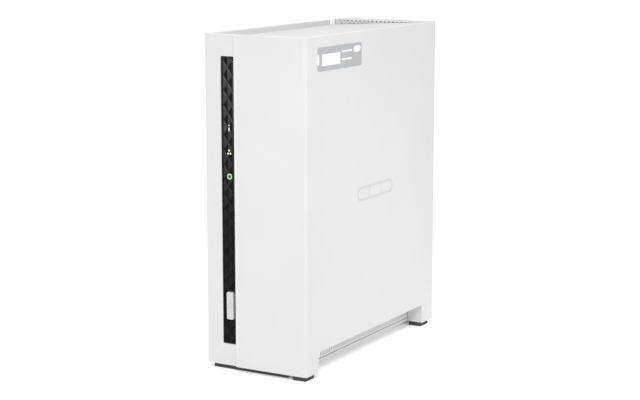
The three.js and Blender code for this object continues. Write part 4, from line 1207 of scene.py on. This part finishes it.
def capacitor(face, y, z):
    """An upright can with a groove near its foot and a vent cross in its top."""
    can = turned(CAPACITOR_PROFILE, (face, y, z), "x")
    cross_x = moved(VENT_CROSS["x"], face)
    length, width = VENT_CROSS["length"], VENT_CROSS["width"]
    cut(can, box(cross_x, around(y, length), around(z, width)))
    return cut(can, box(cross_x, around(y, width), around(z, length)))


def chip_legs(face, y, z, wide, tall):
    legs = []
    for i in range(int(tall / CHIP_LEG["pitch"])):
        place = z - tall / 2 + CHIP_LEG["first"] + i * CHIP_LEG["pitch"]
        for side in (-1, 1):
            edge = y + side * wide / 2
            leg_y = sorted((edge, edge + side * CHIP_LEG["reach"]))
            leg_x = (face, face + CHIP_LEG["height"])
            legs.append(box(leg_x, leg_y, around(place, CHIP_LEG["width"])))
    return legs


def build_board_parts():
    """Parts soldered to the mainboard's face, given by their Y and Z."""
    face = corners_of("mainboard")[1].x
    cans = merge([capacitor(face, y, z) for y, z in CAPACITORS])
    finish_piece(cans, "mainboard_capacitors", ALUMINIUM, "chassis")
    side, coil_x = COIL["side"], (face, face + COIL["height"])
    blocks = [box(coil_x, around(y, side), around(z, side)) for y, z in COILS]
    coils = merge([soften(block, COIL["corner"]) for block in blocks])
    finish_piece(coils, "mainboard_coils", CABLE, "chassis")
    chips = []
    legs = []
    for y, z, wide, tall in FLAT_CHIPS:
        chips.append(soften(box((face + 0.1, face + 1.2), around(y, wide), around(z, tall)), 0.15))
        legs += chip_legs(face, y, z, wide, tall)
    finish_piece(merge(chips), "mainboard_chips", CHIP, "chassis")
    places = [SMALL_PARTS["first_y"] + i * SMALL_PARTS["pitch"] for i in range(SMALL_PARTS["count"])]
    small = [
        box((face, face + 0.7), around(y, 1.7), around(z, 0.9))
        for z in SMALL_PARTS["z"] for y in places
    ]
    finish_piece(merge(legs), "mainboard_chip_legs", SCREW, "chassis")
    finish_piece(merge(small), "mainboard_small_parts", CABLE, "chassis")


DRIVE_RIM_DEPTH = 1.2
DRIVE_LID_SCREWS = [(17, 30), (17, 98), (17, 163), (109, 30), (109, 98), (109, 163), (63, 163)]
LID_SCREW_PROFILE = [(0, 0), (2.2, 0), (2.2, 0.45), (1.9, 0.75), (0, 0.75)]
LID_SCREW_HEX = {"radius": 0.9, "floor": 0.3}
DRIVE_LABEL_PLACE = ((26, 100), (66, 150))
DRIVE_BARS = {"y": 32, "top_z": 138, "pitch": 7, "height": 2.4, "lengths": (58, 40, 50, 30)}


def build_drive_details():
    """Lid screws and a blank label with four bars on the drive's lid, given by Y and Z."""
    low, high = corners_of("drive_cover")
    rim_face = low.x + DRIVE_RIM_DEPTH
    screws = []
    for y, z in DRIVE_LID_SCREWS:
        head = turned(LID_SCREW_PROFILE, (rim_face, y, z), "x", 20)
        socket = disc((y, z), LID_SCREW_HEX["radius"], 6)
        screws.append(cut(head, prism("x", socket, rim_face + LID_SCREW_HEX["floor"], rim_face + 2)))
    finish_piece(merge(screws), "drive_lid_screws", SCREW, "drive_caddy")
    label = prism("x", rounded(*DRIVE_LABEL_PLACE, 3), high.x - 0.05, high.x + 0.1)
    finish_piece(label, "drive_label", DRIVE_LABEL, "drive_caddy")
    bars = []
    for i, length in enumerate(DRIVE_BARS["lengths"]):
        bar_z = around(DRIVE_BARS["top_z"] - i * DRIVE_BARS["pitch"], DRIVE_BARS["height"])
        outline = rectangle((DRIVE_BARS["y"], DRIVE_BARS["y"] + length), bar_z)
        bars.append(prism("x", outline, high.x + 0.02, high.x + 0.14))
    finish_piece(merge(bars), "drive_label_bars", LABEL, "drive_caddy")


# -------- assembly

# Nodes whose thin webs leave no room for rounded edges.
SHARP_NODES = {"rear_panel", "sata_socket"}
REFINED_EDGE = 0.15


def add_floor():
    """A pale floor at the height of the feet, which glows a little."""
    bm = bmesh.new()
    side = (-FLOOR_REACH, FLOOR_REACH)
    bm.faces.new([bm.verts.new((x, y, 0)) for x, y in rectangle(side, side)])
    floor = piece_from(bm, "floor")
    nodes = Nodes("floor")
    nodes.shader.inputs["Base Color"].default_value = (FLOOR_TONE, FLOOR_TONE, FLOOR_TONE, 1)
    nodes.shader.inputs["Roughness"].default_value = 0.9
    nodes.shader.inputs["Emission Color"].default_value = (1, 1, 1, 1)
    nodes.shader.inputs["Emission Strength"].default_value = FLOOR_GLOW
    floor.data.materials.append(nodes.material)


bpy.context.scene.view_settings.view_transform = "Standard"
add_camera()
add_sky()
add_softbox()
add_floor()
build_side_cover()
build_left_shell()
build_rear_top_grille()
build_vent_rail()
build_window()
build_signs()
build_power_button()
build_label()
build_emblem()
for towards, screw_nodes in SCREWS.items():
    for screw_node in screw_nodes:
        build_screw(screw_node, towards)
build_fan_rotor()
build_ethernet()
build_usb("usb_port_upper")
build_usb("usb_port_lower")
build_power_pin()
build_board_parts()
build_drive_details()
for node_name in sorted(set(NODES) - replaced_nodes):
    edge_width = 0 if node_name in SHARP_NODES else REFINED_EDGE
    refine(node_name, MATERIAL_OF_SLOT[SLOT_OF[node_name]], edge_width)
